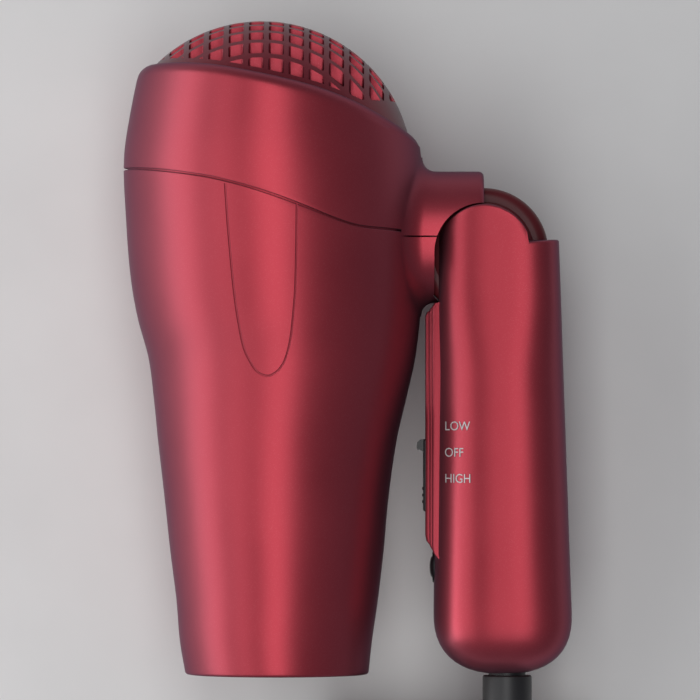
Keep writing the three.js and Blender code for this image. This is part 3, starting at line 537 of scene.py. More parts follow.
def make_floor():
    mesh = bpy.data.meshes.new("floor")
    corners = [(-1, -1), (1, -1), (1, 1), (-1, 1)]
    mesh.from_pydata([place(x * FLOOR_HALF, y * FLOOR_HALF, FLOOR_Z) for x, y in corners], [], [(0, 1, 2, 3)])
    mesh.materials.append(
        make_material("pale_floor", (0.70, 0.70, 0.69), (0.74, 0.74, 0.73), (0.6, 0.7), tooth_scale=200.0))
    linked("floor", mesh)


def strip_light(name, degrees, watts, width, distance=900, length=1500, along=70):
    """A long soft box parallel to the barrel, at an angle from straight up, positive towards +x."""
    data = bpy.data.lights.new(name, "AREA")
    data.shape = "RECTANGLE"
    data.size = width * MM
    data.size_y = length * MM
    data.energy = watts
    lamp = linked(name, data)
    turn = radians(degrees)
    lamp.location = place(distance * sin(turn), along, distance * cos(turn))
    lamp.rotation_euler = (0, turn, 0)
    return lamp


def make_room():
    world = bpy.data.worlds.new("room")
    world.use_nodes = True
    world.node_tree.nodes["Background"].inputs["Color"].default_value = AMBIENT
    bpy.context.scene.world = world
    bpy.context.scene.view_settings.view_transform = "Standard"


def link_light(lamp, role, names, state):
    """Which pieces a light falls on, as their receiver, or is stopped by, as their blocker."""
    group = bpy.data.collections.new(lamp.name + "_" + role)
    for name in names:
        group.objects.link(bpy.data.objects[name])
    for entry in group.collection_objects:
        entry.light_linking.link_state = state
    setattr(lamp.light_linking, role + "_collection", group)


make_floor()
make_room()
ABOVE_LIGHTS = [strip_light("overhead_box", 0, 4.7, 400), strip_light("shoulder_box", -40, 2.2, 300)]
strip_light("left_box", -84, 6.3, 640, 800, 1300)
HANDLE_LIGHTS = [strip_light("handle_left_box", -42, 3.7, 560), strip_light("handle_right_box", 14, 3.6, 360)]
HANDLE_SIDE_LIGHT = strip_light("handle_side_box", -70, 3.2, 420)


def light_handle():
    """The handle has its own lights in place of those above, and the barrel doesn't shade its side."""
    handle = ["handle_upper", "handle_lower"]
    for lamp in ABOVE_LIGHTS:
        link_light(lamp, "receiver", handle, "EXCLUDE")
    for lamp in HANDLE_LIGHTS + [HANDLE_SIDE_LIGHT]:
        link_light(lamp, "receiver", handle, "INCLUDE")
    link_light(HANDLE_SIDE_LIGHT, "blocker", ["front_housing_shell", "rear_housing_shell"], "EXCLUDE")


# ---------------- barrel
WALL = 2.0
BARREL = [
    (0, 22.3, 22.3), (8.3, 23.7, 23.2), (18, 24.5, 24.6), (30, 26.0, 26.0), (43, 27.4, 27.2),
    (57, 29.0, 29.2), (67, 30.0, 31.5), (77, 31.3, 33.7), (87, 34.0, 34.9), (97, 35.7, 35.4),
    (111, 36.8, 35.8), (125.5, 37.3, 35.2), (137, 35.7, 33.4), (150, 33.0, 31.2)]
reach_left = smooth_through([(y, left) for y, left, right in BARREL])
reach_right = smooth_through([(y, right) for y, left, right in BARREL])
split_y = smooth_through([
    (-45, 122.7), (-33, 122.6), (-18.3, 120.8), (-9.5, 118.8), (-0.7, 116.1), (8, 112.9),
    (14, 110.5), (19.8, 108.7), (28.5, 107.8), (34.4, 107.1), (39, 106.5), (60, 106.5)])
rim_y = smooth_through([
    (-34, 147.9), (-29.5, 148.4), (-23.7, 148.5), (-15.1, 147.8), (-6.8, 146.3), (1.6, 144.5),
    (10, 142.3), (18.4, 139.2), (24, 136.4), (29, 133.6), (32, 131.6)])
DOME_RADIUS = 36.8
DOME_CENTRE = (-3.7, 122.3)
COLUMNS = 200
COLUMN_TURNS = [2 * pi * k / COLUMNS for k in range(COLUMNS)]
FRONT_ROWS = 84
REAR_ROWS = 26
TONGUE_IN = 0.9  # how far the front housing's tongue stands in from the surface
JOINT_GAP = 0.43


def barrel_ring(y):
    """The x of the barrel's middle there, and its radius."""
    left, right = reach_left(y), reach_right(y)
    return (right - left) / 2, (left + right) / 2


def barrel_point(turn, y, inset=0.0):
    middle, radius = barrel_ring(y)
    return (middle + (radius - inset) * cos(turn), y, (radius - inset) * sin(turn))


def settle_y(height, turn, inset=0.0):
    """Where the column at this angle meets a line y = height(x)."""
    y = 120.0
    for _ in range(8):
        y = height(barrel_point(turn, y, inset)[0])
    return y


# The line of a U scored into both faces, from one end at the joint to the other.
SCORE = [(-12.2, 119.0), (-11.4, 107.7), (-10.0, 92.8), (-8.6, 83.5), (-7.6, 79.2), (-6.3, 76.4),
         (-4.6, 73.9), (-2.1, 72.8), (0.2, 73.8), (1.9, 76.0), (3.0, 79.2), (3.8, 83.5), (4.6, 92.0),
         (4.9, 99.8), (5.1, 114.0)]
SCORE_RADIUS = 0.3
SCORE_RISE = 0.08  # the tube's middle above the surface


def score_line(side):
    """A thin tube along the U, half sunk in the surface above (1) or below (-1) the middle plane."""
    curve = interpolate_spline([(x, y, 0) for x, y in SCORE], 8)
    points = []
    for x, y, _ in curve:
        middle, radius = barrel_ring(y)
        z = sqrt(radius ** 2 - (x - middle) ** 2) + SCORE_RISE
        points.append((x, y, side * z))
    return tube_along("score", points, SCORE_RADIUS, 8)


def front_column(turn):
    """One column of the front housing: up the inside, round the nozzle's rim and up the outside."""
    top = settle_y(split_y, turn)
    column = [(WALL, top), (WALL, top / 2), (WALL, 1.0), (WALL - 0.3, 0.15), (WALL - 0.6, 0.0)]
    column += [(a, -b) for a, b in reversed(corner(0.7))]
    column += [(0, 0.7 + (top - 1.0) * k / FRONT_ROWS) for k in range(1, FRONT_ROWS)]
    column += [(a, top + b) for a, b in corner(0.3)]
    column += [(TONGUE_IN, top), (TONGUE_IN, top + 1.6), (WALL, top + 1.6)]
    return [barrel_point(turn, y, inset) for inset, y in column]


def rear_column(turn):
    """One column of the rear housing: down the joint, up the outside and over the rim."""
    bottom = settle_y(split_y, turn) + JOINT_GAP
    rim = settle_y(rim_y, turn, 1.5)
    lip = lip_width(turn, rim)
    shoulder = min(2.7, max(0.5, 0.85 * lip))
    column = [(WALL, bottom + 2.6), (TONGUE_IN - 0.15, bottom + 2.4), (TONGUE_IN - 0.15, bottom)]
    column += [(a, bottom - b) for a, b in reversed(corner(0.3))]
    top = rim - shoulder
    column += [(0, bottom + 0.3 + (top - bottom - 0.3) * k / REAR_ROWS) for k in range(1, REAR_ROWS)]
    points = [barrel_point(turn, y, inset) for inset, y in column]
    for inset, drop in corner(shoulder, 7) + [(lip, 0.0), (lip, -2.2), (WALL + 0.8, -3.2), (WALL + 0.8, -9)]:
        x, y, z = barrel_point(turn, rim + drop, inset)
        points.append((x, rim_y(x) + drop, z))
    return points


def lip_width(turn, rim):
    """From the barrel's surface in to just short of the dome, at the rim."""
    middle, radius = barrel_ring(rim)
    offset = middle - DOME_CENTRE[0]
    c = cos(turn)
    inside = DOME_RADIUS ** 2 - (rim - DOME_CENTRE[1]) ** 2 - (offset * sin(turn)) ** 2
    dome = -offset * c + sqrt(max(inside, 0.0))
    return max(0.6, radius - dome - GAP)


def barrel_shell(name, column):
    return rings_closed(name, [column(turn) for turn in COLUMN_TURNS], 40)


# ---------------- neck
NECK_RADIUS = 16.0
NECK_Y = 106.5
NECK_END = 50.35
HINGE = (50.3, 102.6)
PLATE_RADIUS = 11.7
PLATE_INNER = 8.05
PLATE_GAP = 0.4
DRUM_RADIUS = 15.8
DRUM_HALF = 7.0
NECK_EDGE = 1.2  # the radius at its end
NECK_BORE = 0.86  # of its outside
NECK_INNER_X = 30.0  # where its inside ends, in the barrel
FILLET = 3.4
LEVEL = 1e-6  # mm off the middle plane, where the foot stays at the neck


def barrel_side(y, z):
    """x of the barrel's right side."""
    middle, radius = barrel_ring(y)
    return middle + sqrt(max(radius * radius - z * z, 0.0))


def neck_line(phi, inset=0.0):
    """From the barrel out along the neck to its end, at an angle round the neck from +z."""
    radius = NECK_RADIUS - inset
    ring = Vector((0, sin(phi), cos(phi)))
    on_neck = Vector((0, NECK_Y, 0)) + ring * radius
    contact = barrel_side(on_neck.y, on_neck.z)
    foot = Vector((0, NECK_Y, 0)) + ring * (radius + FILLET)
    foot.x = contact if abs(foot.z) < LEVEL else barrel_side(foot.y, foot.z)
    meet = Vector((contact, on_neck.y, on_neck.z))
    start = Vector((contact + FILLET, on_neck.y, on_neck.z))
    line = interpolate_bezier(foot, foot.lerp(meet, 0.6), start.lerp(meet, 0.6), start, 10)
    points = [tuple(p) for p in line]
    length = NECK_END - NECK_EDGE - start.x
    points += [(start.x + length * k / 6, on_neck.y, on_neck.z) for k in range(1, 7)]
    for a, b in corner(NECK_EDGE):
        spot = Vector((0, NECK_Y, 0)) + ring * (radius - a)
        points.append((NECK_END + b, spot.y, spot.z))
    return points


def neck_half(name, side):
    """Half the neck: side 1 above the joint line, -1 below it."""
    loops = []
    edge = 0.012
    turns = [edge + (pi - 2 * edge) * k / 60 for k in range(61)]
    for turn in turns:
        outer = neck_line(turn if side > 0 else -turn)
        inner = [(x, NECK_Y + (y - NECK_Y) * NECK_BORE, z * NECK_BORE) for x, y, z in outer]
        inner = [(max(x - 1.5, NECK_INNER_X), y, z) for x, y, z in inner[4:]]
        loops.append(outer + list(reversed(inner)))
    return loops_object(name, loops, 40)


def hinge_disc(name, radius, half):
    """An upright disc on the hinge's axis, half as high on each side."""
    return lathe(name, rod(radius, -half, half), "z", (*HINGE, 0), 128)


def cut_plate_pockets(obj):
    """Room for the handle's two side plates, and for the drum between them."""
    reach = PLATE_RADIUS + PLATE_GAP
    turns = [pi * (1 - k / 60) for k in range(61)]
    arc = [(HINGE[0] + reach * cos(t), HINGE[1] + reach * sin(t)) for t in turns]
    outline = arc + [(HINGE[0] + reach, 60), (HINGE[0] - reach, 60)]
    for side in (1, -1):
        ends = sorted((side * (DRUM_HALF + 0.25), side * BEYOND))
        combine(obj, outline_solid("pocket", outline, *ends))
    return combine(obj, hinge_disc("pocket", DRUM_RADIUS + 0.3, DRUM_HALF + 0.3))


def make_barrel():
    front = barrel_shell("front_housing_shell", front_column)
    for side in (1, -1):
        combine(front, score_line(side))
    rear = barrel_shell("rear_housing_shell", rear_column)
    lower = cut_plate_pockets(neck_half("neck_lower", -1))
    upper = cut_plate_pockets(neck_half("neck_upper", 1))
    for name, shell, neck in (("front_housing", front, lower), ("rear_housing", rear, upper)):
        keep(joined(name + "_shell", [shell, neck]), "barrel", "red_shell", [name])


make_barrel()


# ---------------- inlet grille
PITCH = 4.85
RIB = 1.2
RIB_DEPTH = 2.9
DOME_BELOW_RIM = 1.8
DOME_ROWS = 40
OPENING_CORNER = 0.55
REACH_RADIUS = 32.6


def at_origin(obj):
    """Moves a helper's mesh so that the barrel's axis runs through the world's origin."""
    obj.data.transform(Matrix.Translation(-place(0, 0, 0)))
    return obj


def rounded_corners(wide, tall, radius, steps):
    """Round the corners of a rectangle with those half sizes: each corner's centre, and the direction
    out of it, as (x, y, c, s)."""
    spots = []
    for quarter in range(4):
        x = (wide - radius) * (1 if quarter in (0, 3) else -1)
        y = (tall - radius) * (1 if quarter in (0, 1) else -1)
        turns = [pi / 2 * (quarter + k / steps) for k in range(steps + 1)]
        spots += [(x, y, cos(t), sin(t)) for t in turns]
    return spots


def dome_shell():
    """The dome before its openings are cut, down to just inside the rim."""
    loops = []
    for turn in COLUMN_TURNS:
        c, s = cos(turn), sin(turn)
        radius = DOME_RADIUS * 0.9
        for _ in range(12):
            floor = rim_y(DOME_CENTRE[0] + radius * c) - DOME_BELOW_RIM
            rise = min(max(floor - DOME_CENTRE[1], 0.0), DOME_RADIUS)
            radius = (radius + sqrt(DOME_RADIUS ** 2 - rise ** 2)) / 2
        last = asin(min(1.0, radius / DOME_RADIUS))
        shares = [i / DOME_ROWS for i in range(DOME_ROWS + 1)]
        tilts = [0.002 + (last - 0.002) * share for share in shares]
        outer = [(DOME_RADIUS * sin(t), DOME_CENTRE[1] + DOME_RADIUS * cos(t)) for t in tilts]
        inner = [(r - 0.9 * share, y - RIB_DEPTH + 0.6 * share) for share, (r, y) in zip(shares, outer)]
        profile = outer + list(reversed(inner))
        loops.append([(DOME_CENTRE[0] + r * c, y, r * s) for r, y in profile])
    return rings_closed("inlet_grille_dome", loops, 40)


def opening_reach():
    """Where openings may be: above the rim's border and inside a circle seen along the barrel."""
    loops = []
    for turn in COLUMN_TURNS:
        c, s = cos(turn), sin(turn)
        spokes = [REACH_RADIUS * (1 - i / 8) + 0.01 for i in range(9)]
        under = [(DOME_CENTRE[0] + r * c, rim_y(DOME_CENTRE[0] + r * c) + 1.15, r * s) for r in spokes]
        top = [(x, 175.0, z) for x, y, z in reversed(under)]
        loops.append(under + top)
    return rings_closed("reach", loops)


def make_grille():
    half = (PITCH - RIB) / 2
    square = [(x + OPENING_CORNER * c, z + OPENING_CORNER * s)
              for x, z, c, s in rounded_corners(half, half, OPENING_CORNER, 3)]
    prism = at_origin(loops_object("opening", [[(x, y, z) for x, z in square] for y in (-22, 22)]))
    helpers = {"Opening": prism, "Reach": opening_reach()}
    values = {"Pitch": PITCH * MM, "Columns": 15, "Rows": 14, "Middle": place(0, 145, 0),
              "Material": SLOTS["grille_red"]}
    dome = grown(dome_shell(), LATTICE, helpers, values)
    keep(dome, "barrel", "grille_red", ["inlet_grille"])


make_grille()


# ---------------- handle
HANDLE_TOP = 104.9
HANDLE_LEFT = (38.0, 39.15)   # at the foot and at the hinge
HANDLE_RIGHT = (72.35, 68.7)
HANDLE_HALF = (16.6, 16.0)
FOOT_HEIGHT = 15
FOOT_POWER = 2.4
SECTION_POWER = 2.8
HANDLE_WALL = 2.0
SEAM = 0.15  # half the gap between the two halves
HALF_STEPS = 90


def handle_section(y):
    """The x of the handle's middle there, its half width and its half depth."""
    t = min(1.0, max(0.0, y / HANDLE_TOP))
    left, right, half = [foot + (top - foot) * t for foot, top in (HANDLE_LEFT, HANDLE_RIGHT, HANDLE_HALF)]
    return (left + right) / 2, (right - left) / 2, half


def section_power(y):
    """How square the handle's section is, a little more so at the hinge."""
    return SECTION_POWER + 0.8 * step_smooth(72, 95, y)


def handle_point(turn, y, inset=0.0):
    """On the upper half's surface at an angle round its section from the outer edge."""
    middle, half_x, half_z = handle_section(y)
    foot = min(1.0, max(0.0, (FOOT_HEIGHT - y + 0.1) / FOOT_HEIGHT))
    shrink = max(0.0, 1 - foot ** FOOT_POWER) ** (1 / FOOT_POWER)
    half_x, half_z = [max(0.3, half * shrink - inset) for half in (half_x, half_z)]
    power = section_power(y)
    c, s = cos(turn), sin(turn)
    x = middle + half_x * copysign(abs(c) ** (2 / power), c)
    return (x, y, SEAM + half_z * abs(s) ** (2 / power))


def handle_top(x):
    """The top outline seen from above: the plate's arc round the hinge, then the hood above the drum."""
    off = x - HINGE[0]
    if off < 10.6:
        return HINGE[1] + sqrt(max(0.0, PLATE_RADIUS ** 2 - off ** 2))
    return HANDLE_TOP + 0.25 + (off - 10.9) * tan(radians(5))


def handle_column(turn):
    """One column of the half shell: up the outside, over the top edge and down the inside."""
    top = handle_top(handle_point(turn, 103.0)[0])
    rises = [0.1, 0.3, 0.7, 1.3, 2.1, 3.1, 4.3, 5.7, 7.3, 9.1, 11.1, 13.1, 15.1]
    rises += [15.1 + (top - 15.7) * k / 44 for k in range(1, 45)]
    outer = [handle_point(turn, y) for y in rises]
    edge = [handle_point(turn, top + b, a) for a, b in corner(0.6)]
    deep = HANDLE_HALF[1] - PLATE_INNER + 0.3
    inner = [handle_point(turn, top, deep), handle_point(turn, 86, deep), handle_point(turn, 80, HANDLE_WALL)]
    inner += [handle_point(turn, y, HANDLE_WALL) for y in (50, 30, 18, 12, 7, 4, 2.6)]
    return outer + edge + inner


LAND_STEPS = [(0.9, 30.4, 90.6, 9.4), (1.5, 31.2, 90.0, 8.5), (2.4, 32.3, 89.2, 7.2)]


def switch_land():
    """The raised pad round the switch, in three steps, for both halves of the handle."""
    x = sum(HANDLE_LEFT) / 2
    pieces = []
    for reach, low, high, half in LAND_STEPS:
        outline = [(x + 7, low - 3), (x + 0.6, low - 2.0), (x - reach * 0.5, low - 0.9),
                   (x - reach * 0.9, low + 0.2), (x - reach, low + 1.5), (x - reach, high - 2.0),
                   (x - reach * 0.85, high - 1.0), (x - reach * 0.3, high - 0.2), (x + 0.6, high),
                   (x + 7, high)]
        sides = [(-half, 0.9), (-half + 0.25, 0.3), (-half + 0.7, 0.0)]
        levels = sides + [(-z, pull) for z, pull in reversed(sides)]
        loops = [[(px + pull if px < x else px, py, z * (1 - 0.035 * max(0.0, x + 1.5 - px) ** 1.4))
                  for px, py in outline] for z, pull in levels]
        pieces.append(loops_object("land", loops, 40))
    land = pieces[0]
    for other in pieces[1:]:
        combine(land, other, "UNION")
    return land


RECESS = (33.0, 71.8)
RECESS_HALF = 4.6
LINER_ROOM = 1.05
STEM_ROOM = (44.2, 60.6)
STEM_HALF = 1.55
BUTTON_Y = 26.2
BEZEL_RADIUS = 4.0
RELIEF_X = 56.1
CORD_HOLE_RADIUS = 4.85
SCREWS = ((61.5, 20), (63.5, 78))
SCREW_WELL = 3.05
SCREW_BOSS = 3.6


def handle_half(name, side):
    """Half the handle: side 1 above the seam, -1 below it."""
    columns = [handle_column(pi * k / HALF_STEPS) for k in range(HALF_STEPS + 1)]
    shell = loops_object(name, columns, 40)
    if side < 0:
        middle = Matrix.Translation(place(0, 0, 0))
        shell.data.transform(middle @ Matrix.Diagonal((1, 1, -1, 1)) @ middle.inverted())
        shell.data.flip_normals()
    land = switch_land()
    ends = (-BEYOND, -SEAM) if side > 0 else (SEAM, BEYOND)
    combine(land, block("other_half", (0, 0, ends[0]), (100, 130, ends[1])))
    combine(land, block("inside", (40.4, 27, -12), (60, 91, 12)))
    combine(shell, land, "UNION")
    recess_end = box_mm("switch_liner")[0].x + LINER_ROOM
    rooms = [
        block("recess", (20, RECESS[0], -RECESS_HALF), (recess_end, RECESS[1], RECESS_HALF)),
        block("slot", (20, STEM_ROOM[0], -STEM_HALF), (44, STEM_ROOM[1], STEM_HALF)),
        lathe("button_hole", rod(BEZEL_RADIUS + GAP, 30, 44), "x", (0, BUTTON_Y, 0), 64),
        hinge_disc("drum_room", DRUM_RADIUS + GAP, PLATE_INNER),
        block("neck_room", (0, 90.0, -PLATE_INNER), (HINGE[0], 140, PLATE_INNER)),
        block("neck_room", (0, HINGE[1] + 8, -PLATE_INNER), (HINGE[0] + 12, 140, PLATE_INNER)),
        lathe("cord_hole", rod(CORD_HOLE_RADIUS, -3, 8), "y", (RELIEF_X, 0, 0), 64)]
    for room in rooms:
        combine(shell, room)
    if side < 0:
        for x, y in SCREWS:
            combine(shell, lathe("well", rod(SCREW_WELL, -BEYOND, -8.3), "z", (x, y, 0), 48))
            boss = lathe("boss", rod(SCREW_BOSS, -13.5, -8.6, bore=1.8), "z", (x, y, 0), 48)
            shell = joined(name, [shell, boss])
    return shell


def make_handle():
    for end, side in (("upper", 1), ("lower", -1)):
        keep(handle_half("handle_" + end, side), "handle", "red_shell", ["handle_shell_" + end])


def make_drum():
    """The drum between the handle's plates, with rounded rims and a shallow step near its faces."""
    half, bore, edge = DRUM_HALF, 5.3, 2.5
    rim = [(DRUM_RADIUS - edge + edge * sin(t), half - edge + edge * cos(t))
           for t in [pi / 2 * k / 8 for k in range(9)]]
    upper = [(bore, half), (12.1, half), (12.25, half - 0.1), (12.35, half)] + rim
    lower = [(r, -z) for r, z in reversed(upper)]
    drum = lathe("hinge_drum_turned", upper + lower, "z", (*HINGE, 0), 144)
    keep(drum, "barrel", "hinge_maroon", ["hinge_drum"])


def make_slider():
    """The switch's plate with its thumb ridge, three small ribs and the stem into the handle."""
    low, high = box_mm("speed_switch")
    face = box_mm("switch_liner")[0].x - GAP
    nub = [(-0.6, -3.2), (-1.4, -3.1), (-2.5, -2.5), (-2.9, -2.6), (-3.1, -2.0), (-2.9, -0.8), (-2.3, -0.2),
           (-1.4, -0.02), (-0.6, -0.1)]
    parts = [
        rounded_box("plate", (face - 1.5, low.y, low.z), (face, high.y, high.z), 0.45),
        outline_solid("nub", [(face + x, high.y + y) for x, y in nub], low.z + 0.4, high.z - 0.4),
        rounded_box("stem", (face - 0.4, 50.9, -1.2), (high.x, 53.9, 1.2), 0.2, 1)]
    parts += [rounded_box("rib", (face - 1.75, y, -2.6), (face - 1.2, y + 0.7, 2.6), 0.2)
              for y in (low.y + 2.0, low.y + 3.6, low.y + 5.2)]
    keep(joined("speed_slider", parts), "speed_switch", "black_gloss", ["speed_switch"])


def make_cool_shot():
    """The round button and the ring that it slides in."""
    low, high = box_mm("cool_shot_button")
    length = high.x - low.x
    cap = [(TOUCH, 0.0), (1.2, 0.08), (2.2, 0.3), (2.75, 0.7), (3.0, 1.3), (3.0, 4.2), (1.1, 4.2),
           (1.1, length), (TOUCH, length)]
    ring = [(3.25, 0.4), (3.4, 0.1), (3.65, 0.0), (3.85, 0.15), (4.0, 0.5), (4.0, 3.4), (3.25, 3.4)]
    for name, profile, body, node in (("cool_shot_cap", cap, "cool_shot_button", "cool_shot_button"),
                                      ("cool_shot_ring", ring, "handle", "cool_shot_bezel")):
        start = box_mm(node)[0].x
        keep(lathe(name, profile, "x", (start, BUTTON_Y, 0), 64), body, "black_gloss", [node])


WORDS = [("LOW", 60.5), ("OFF", 54.1), ("HIGH", 47.8)]
WORD_START = 40.7
WORD_SIZE = 3.1
WORD_NARROWING = 0.84  # the printed letters are narrower than the built-in font's
PRINT_HALF = 0.06
PRINT_LIFT = 0.12  # keeps a letter's flat strokes out of the curved surface


def make_words():
    """Plain words beside the switch's three places, as thin raised print that follows the handle."""
    for word, y in WORDS:
        data = bpy.data.curves.new("word", "FONT")
        data.body = word
        data.size = WORD_SIZE * MM
        data.extrude = PRINT_HALF * MM
        data.align_y = "CENTER"
        mould = linked("word", data)
        mesh = plain_mesh(mould)
        bpy.data.objects.remove(mould)
        middle, half_x, half_z = handle_section(y)
        power = section_power(y)
        for vert in mesh.vertices:
            x = WORD_START + WORD_NARROWING * vert.co.x / MM
            off = abs(x - middle) / half_x
            rise = SEAM + half_z * (1 - off ** power) ** (1 / power)
            vert.co = place(x, y + vert.co.y / MM, rise + PRINT_LIFT + vert.co.z / MM)
        keep(linked("word_" + word.lower(), mesh), "handle", "white_plastic", material=PRINT)


make_handle()
make_drum()
make_slider()
make_cool_shot()
make_words()
light_handle()


# ---------------- the cord
CORD_DIAMETER = 5.8
REST = FLOOR_Z + CORD_DIAMETER / 2 + 0.05  # its middle, where it lies on the surface
COIL_MIDDLE = (0, -80)
COIL_START = -62  # degrees from +x
COIL_LOW = FLOOR_Z + 1.2 + CORD_DIAMETER / 2  # the bottom layer's centreline
COIL_HIGH = COIL_LOW + CORD_DIAMETER
CORD_EXIT = (RELIEF_X, -33.9, 0)
CORD_IN = [
    (56.1, -34.3, 0), (56.1, -38, 0), (56.1, -43.5, -0.9), (56.1, -50, -3.6), (56.1, -58.5, -10),
    (56.1, -66.5, -18.4), (56.1, -75, -26.2), (55.6, -84, -31.5), (53.9, -93, REST), (50, -101.8, REST),
    (43.6, -110, REST), (34.5, -117.2, REST), (23, -123.3, REST)]
PLUG_Y = -21.5
PLUG_ENTRY = FLOOR_Z + 8  # the plug's middle height
CORD_OUT = [
    (-46, -63.2, REST), (-43.3, -55.7, REST), (-40.6, -48.2, REST), (-37.1, -38.6, REST),
    (-32.6, -30.8, REST + 0.4), (-25.7, -25, REST + 2), (-19.4, -22.3, PLUG_ENTRY - 0.6),
    (-16, -21.6, PLUG_ENTRY - 0.1), (-12.5, PLUG_Y, PLUG_ENTRY)]
COIL_STAGES = [  # degrees turned, and the radius and height at the stage's end
    (60, 40.7, COIL_LOW), (1080, 23.3, COIL_LOW), (70, 23.3, COIL_HIGH), (1217, 42.9, COIL_HIGH),
    (155, 42.9, COIL_HIGH), (76, 49.0, REST)]


def coil_points():
    """Wound clockwise: in along the bottom layer, up, and out along the top layer."""
    turned, radius, height = 0, *COIL_STAGES[-1][1:]
    points = []
    for span, end_radius, end_height in COIL_STAGES:
        steps = max(8, round(span / 10))
        eased = span < 200
        for k in range(1, steps + 1):
            t = k / steps
            s = step_smooth(0, 1, t) if eased else t
            angle = radians(COIL_START - turned - span * t)
            r = radius + (end_radius - radius) * s
            z = height + (end_height - height) * s
            points.append((COIL_MIDDLE[0] + r * cos(angle), COIL_MIDDLE[1] + r * sin(angle), z))
        turned, radius, height = turned + span, end_radius, end_height
    return points[:-1]


def make_cord():
    """The cord as a curve, and its length in metres."""
    dense = interpolate_spline([CORD_EXIT] + CORD_IN + coil_points() + CORD_OUT, 3)
    length = sum((b - a).length for a, b in zip(dense, dense[1:])) * MM
    curve = bpy.data.curves.new("supply_cord", "CURVE")
    curve.dimensions = "3D"
    curve.bevel_depth = CORD_DIAMETER / 2 * MM
    curve.bevel_resolution = 4
    curve.use_fill_caps = True
    line = curve.splines.new("POLY")
    line.points.add(len(dense) - 1)
    for spot, point in zip(dense, line.points):
        point.co = (*place(*spot), 1)
    line.use_smooth = True
    cord = linked("supply_cord", curve)
    keep(cord, "handle", "black_cord", ["cord_to_coil", "cord_coil", "cord_to_plug"])
    return cord, length


def make_strain_relief():
    """A ribbed, tapered sleeve with a collar inside the handle."""
    profile = [(TOUCH, 12), (4.5, 12), (4.5, 11.4), (7, 11.4), (7, 9.4), (4.5, 9.4), (4.5, -0.25),
               (5.7, -0.25), (5.95, -0.5), (6.0, -0.9), (6.0, -8.0)]
    for k in range(6):
        y = -8.0 - 4.2 * k
        r = 6.0 - 0.075 * (-y - 6)
        profile += [(r, y), (r - 0.15, y - 0.25), (r - 0.85, y - 0.5), (r - 0.85, y - 1.3),
                    (r - 0.2, y - 1.55)]
    profile += [(4.05, -33.6), (3.8, -34.0), (TOUCH, -34.0)]
    relief = lathe("cord_strain_relief", profile, "y", (RELIEF_X, 0, 0), 72)
    return keep(relief, "handle", "black_cord", ["strain_relief"])


def make_tie():
    """A strap round both layers of the coil."""
    low, high = box_mm("cord_tie")
    thick, edge, bend = 0.9, 0.2, 2.2
    half = (high.y - low.y) / 2
    x, z = (low.x + high.x) / 2, (low.z + high.z) / 2
    section = [(0, edge - half), (0, half - edge), (edge, half), (thick - edge, half),
               (thick, half - edge), (thick, edge - half), (thick - edge, -half), (edge, -half)]
    corners = rounded_corners((high.x - low.x) / 2, (high.z - low.z) / 2, bend, 6)
    loops = [[(x + cx + (bend - d) * c, COIL_MIDDLE[1] + y, z + cz + (bend - d) * s) for d, y in section]
             for cx, cz, c, s in corners]
    return keep(rings_closed("coil_strap", loops), "handle", "black_cord", ["cord_tie"])


PLUG_WALL = 2.0
BLADE_HALF = 0.75
BLADE_GAP = 0.3
PLUG_BUTTONS = {"test_button": "white_plastic", "reset_button": "reset_red"}


def plug_case(node, low, high, kept_from, kept_to):
    """Half the plug's case, kept between two heights, with slots for the blades."""
    case = rounded_box(node + "_moulded", low, high, 3.6, 5)
    combine(case, block("room", [v + PLUG_WALL for v in low], [v - PLUG_WALL for v in high]))
    half = block("half", (low.x - 5, low.y - 5, kept_from), (high.x + 5, high.y + 5, kept_to))
    combine(case, half, "INTERSECT")
    if node == "plug_case_upper":
        for button in PLUG_BUTTONS:
            a, b = box_mm(button)
            combine(case, block("well", (a.x + 0.55, a.y + 0.55, b.z - 5), (b.x - 0.55, b.y - 0.55, b.z + 3)))
    else:
        entry = rod(3.4, low.x - 3, low.x + 6)
        combine(case, lathe("entry", entry, "x", (0, PLUG_Y, PLUG_ENTRY), 48))
    for blade in ("plug_blade_neutral", "plug_blade_live"):
        a, b = box_mm(blade)
        y, half_slot = (a.y + b.y) / 2, BLADE_HALF + BLADE_GAP
        combine(case, block("blade_slot", (high.x - 6, y - half_slot, a.z - BLADE_GAP),
                            (high.x + 3, y + half_slot, b.z + BLADE_GAP)))
    return keep(case, "handle", "black_plastic", [node])


def make_plug():
    """The plug's two case halves, its buttons and its sleeve."""
    low, high = box_mm("plug_case_lower")[0], box_mm("plug_case_upper")[1]
    split = (low.z + high.z) / 2
    made = [plug_case("plug_case_upper", low, high, split + SEAM, 50),
            plug_case("plug_case_lower", low, high, -60, split - SEAM)]
    for button, slot in PLUG_BUTTONS.items():
        a, b = box_mm(button)
        cap = rounded_box("cap", (a.x + 0.9, a.y + 0.9, a.z), (b.x - 0.9, b.y - 0.9, b.z), 0.7)
        foot = rounded_box("foot", (a.x, a.y, a.z), (b.x, b.y, a.z + 2.0), 0.3)
        made.append(keep(joined(button + "_cap", [cap, foot]), button, slot, [button]))
    sleeve = [(TOUCH, 5), (3.0, 5), (3.0, -0.35), (5.1, -0.35), (5.3, -0.6), (5.3, -3)]
    for along in (-5, -9, -13, -17):
        r = 5.3 + 0.07 * (along + 3)
        sleeve += [(r, along), (r - 0.7, along - 0.4), (r - 0.7, along - 1.4), (r - 0.15, along - 1.8)]
    sleeve += [(3.9, -22.7), (3.6, -23), (TOUCH, -23)]
    relief = lathe("plug_sleeve", sleeve, "x", (low.x, PLUG_Y, PLUG_ENTRY), 64)
    return made + [keep(relief, "handle", "black_cord", ["plug_strain_relief"])]


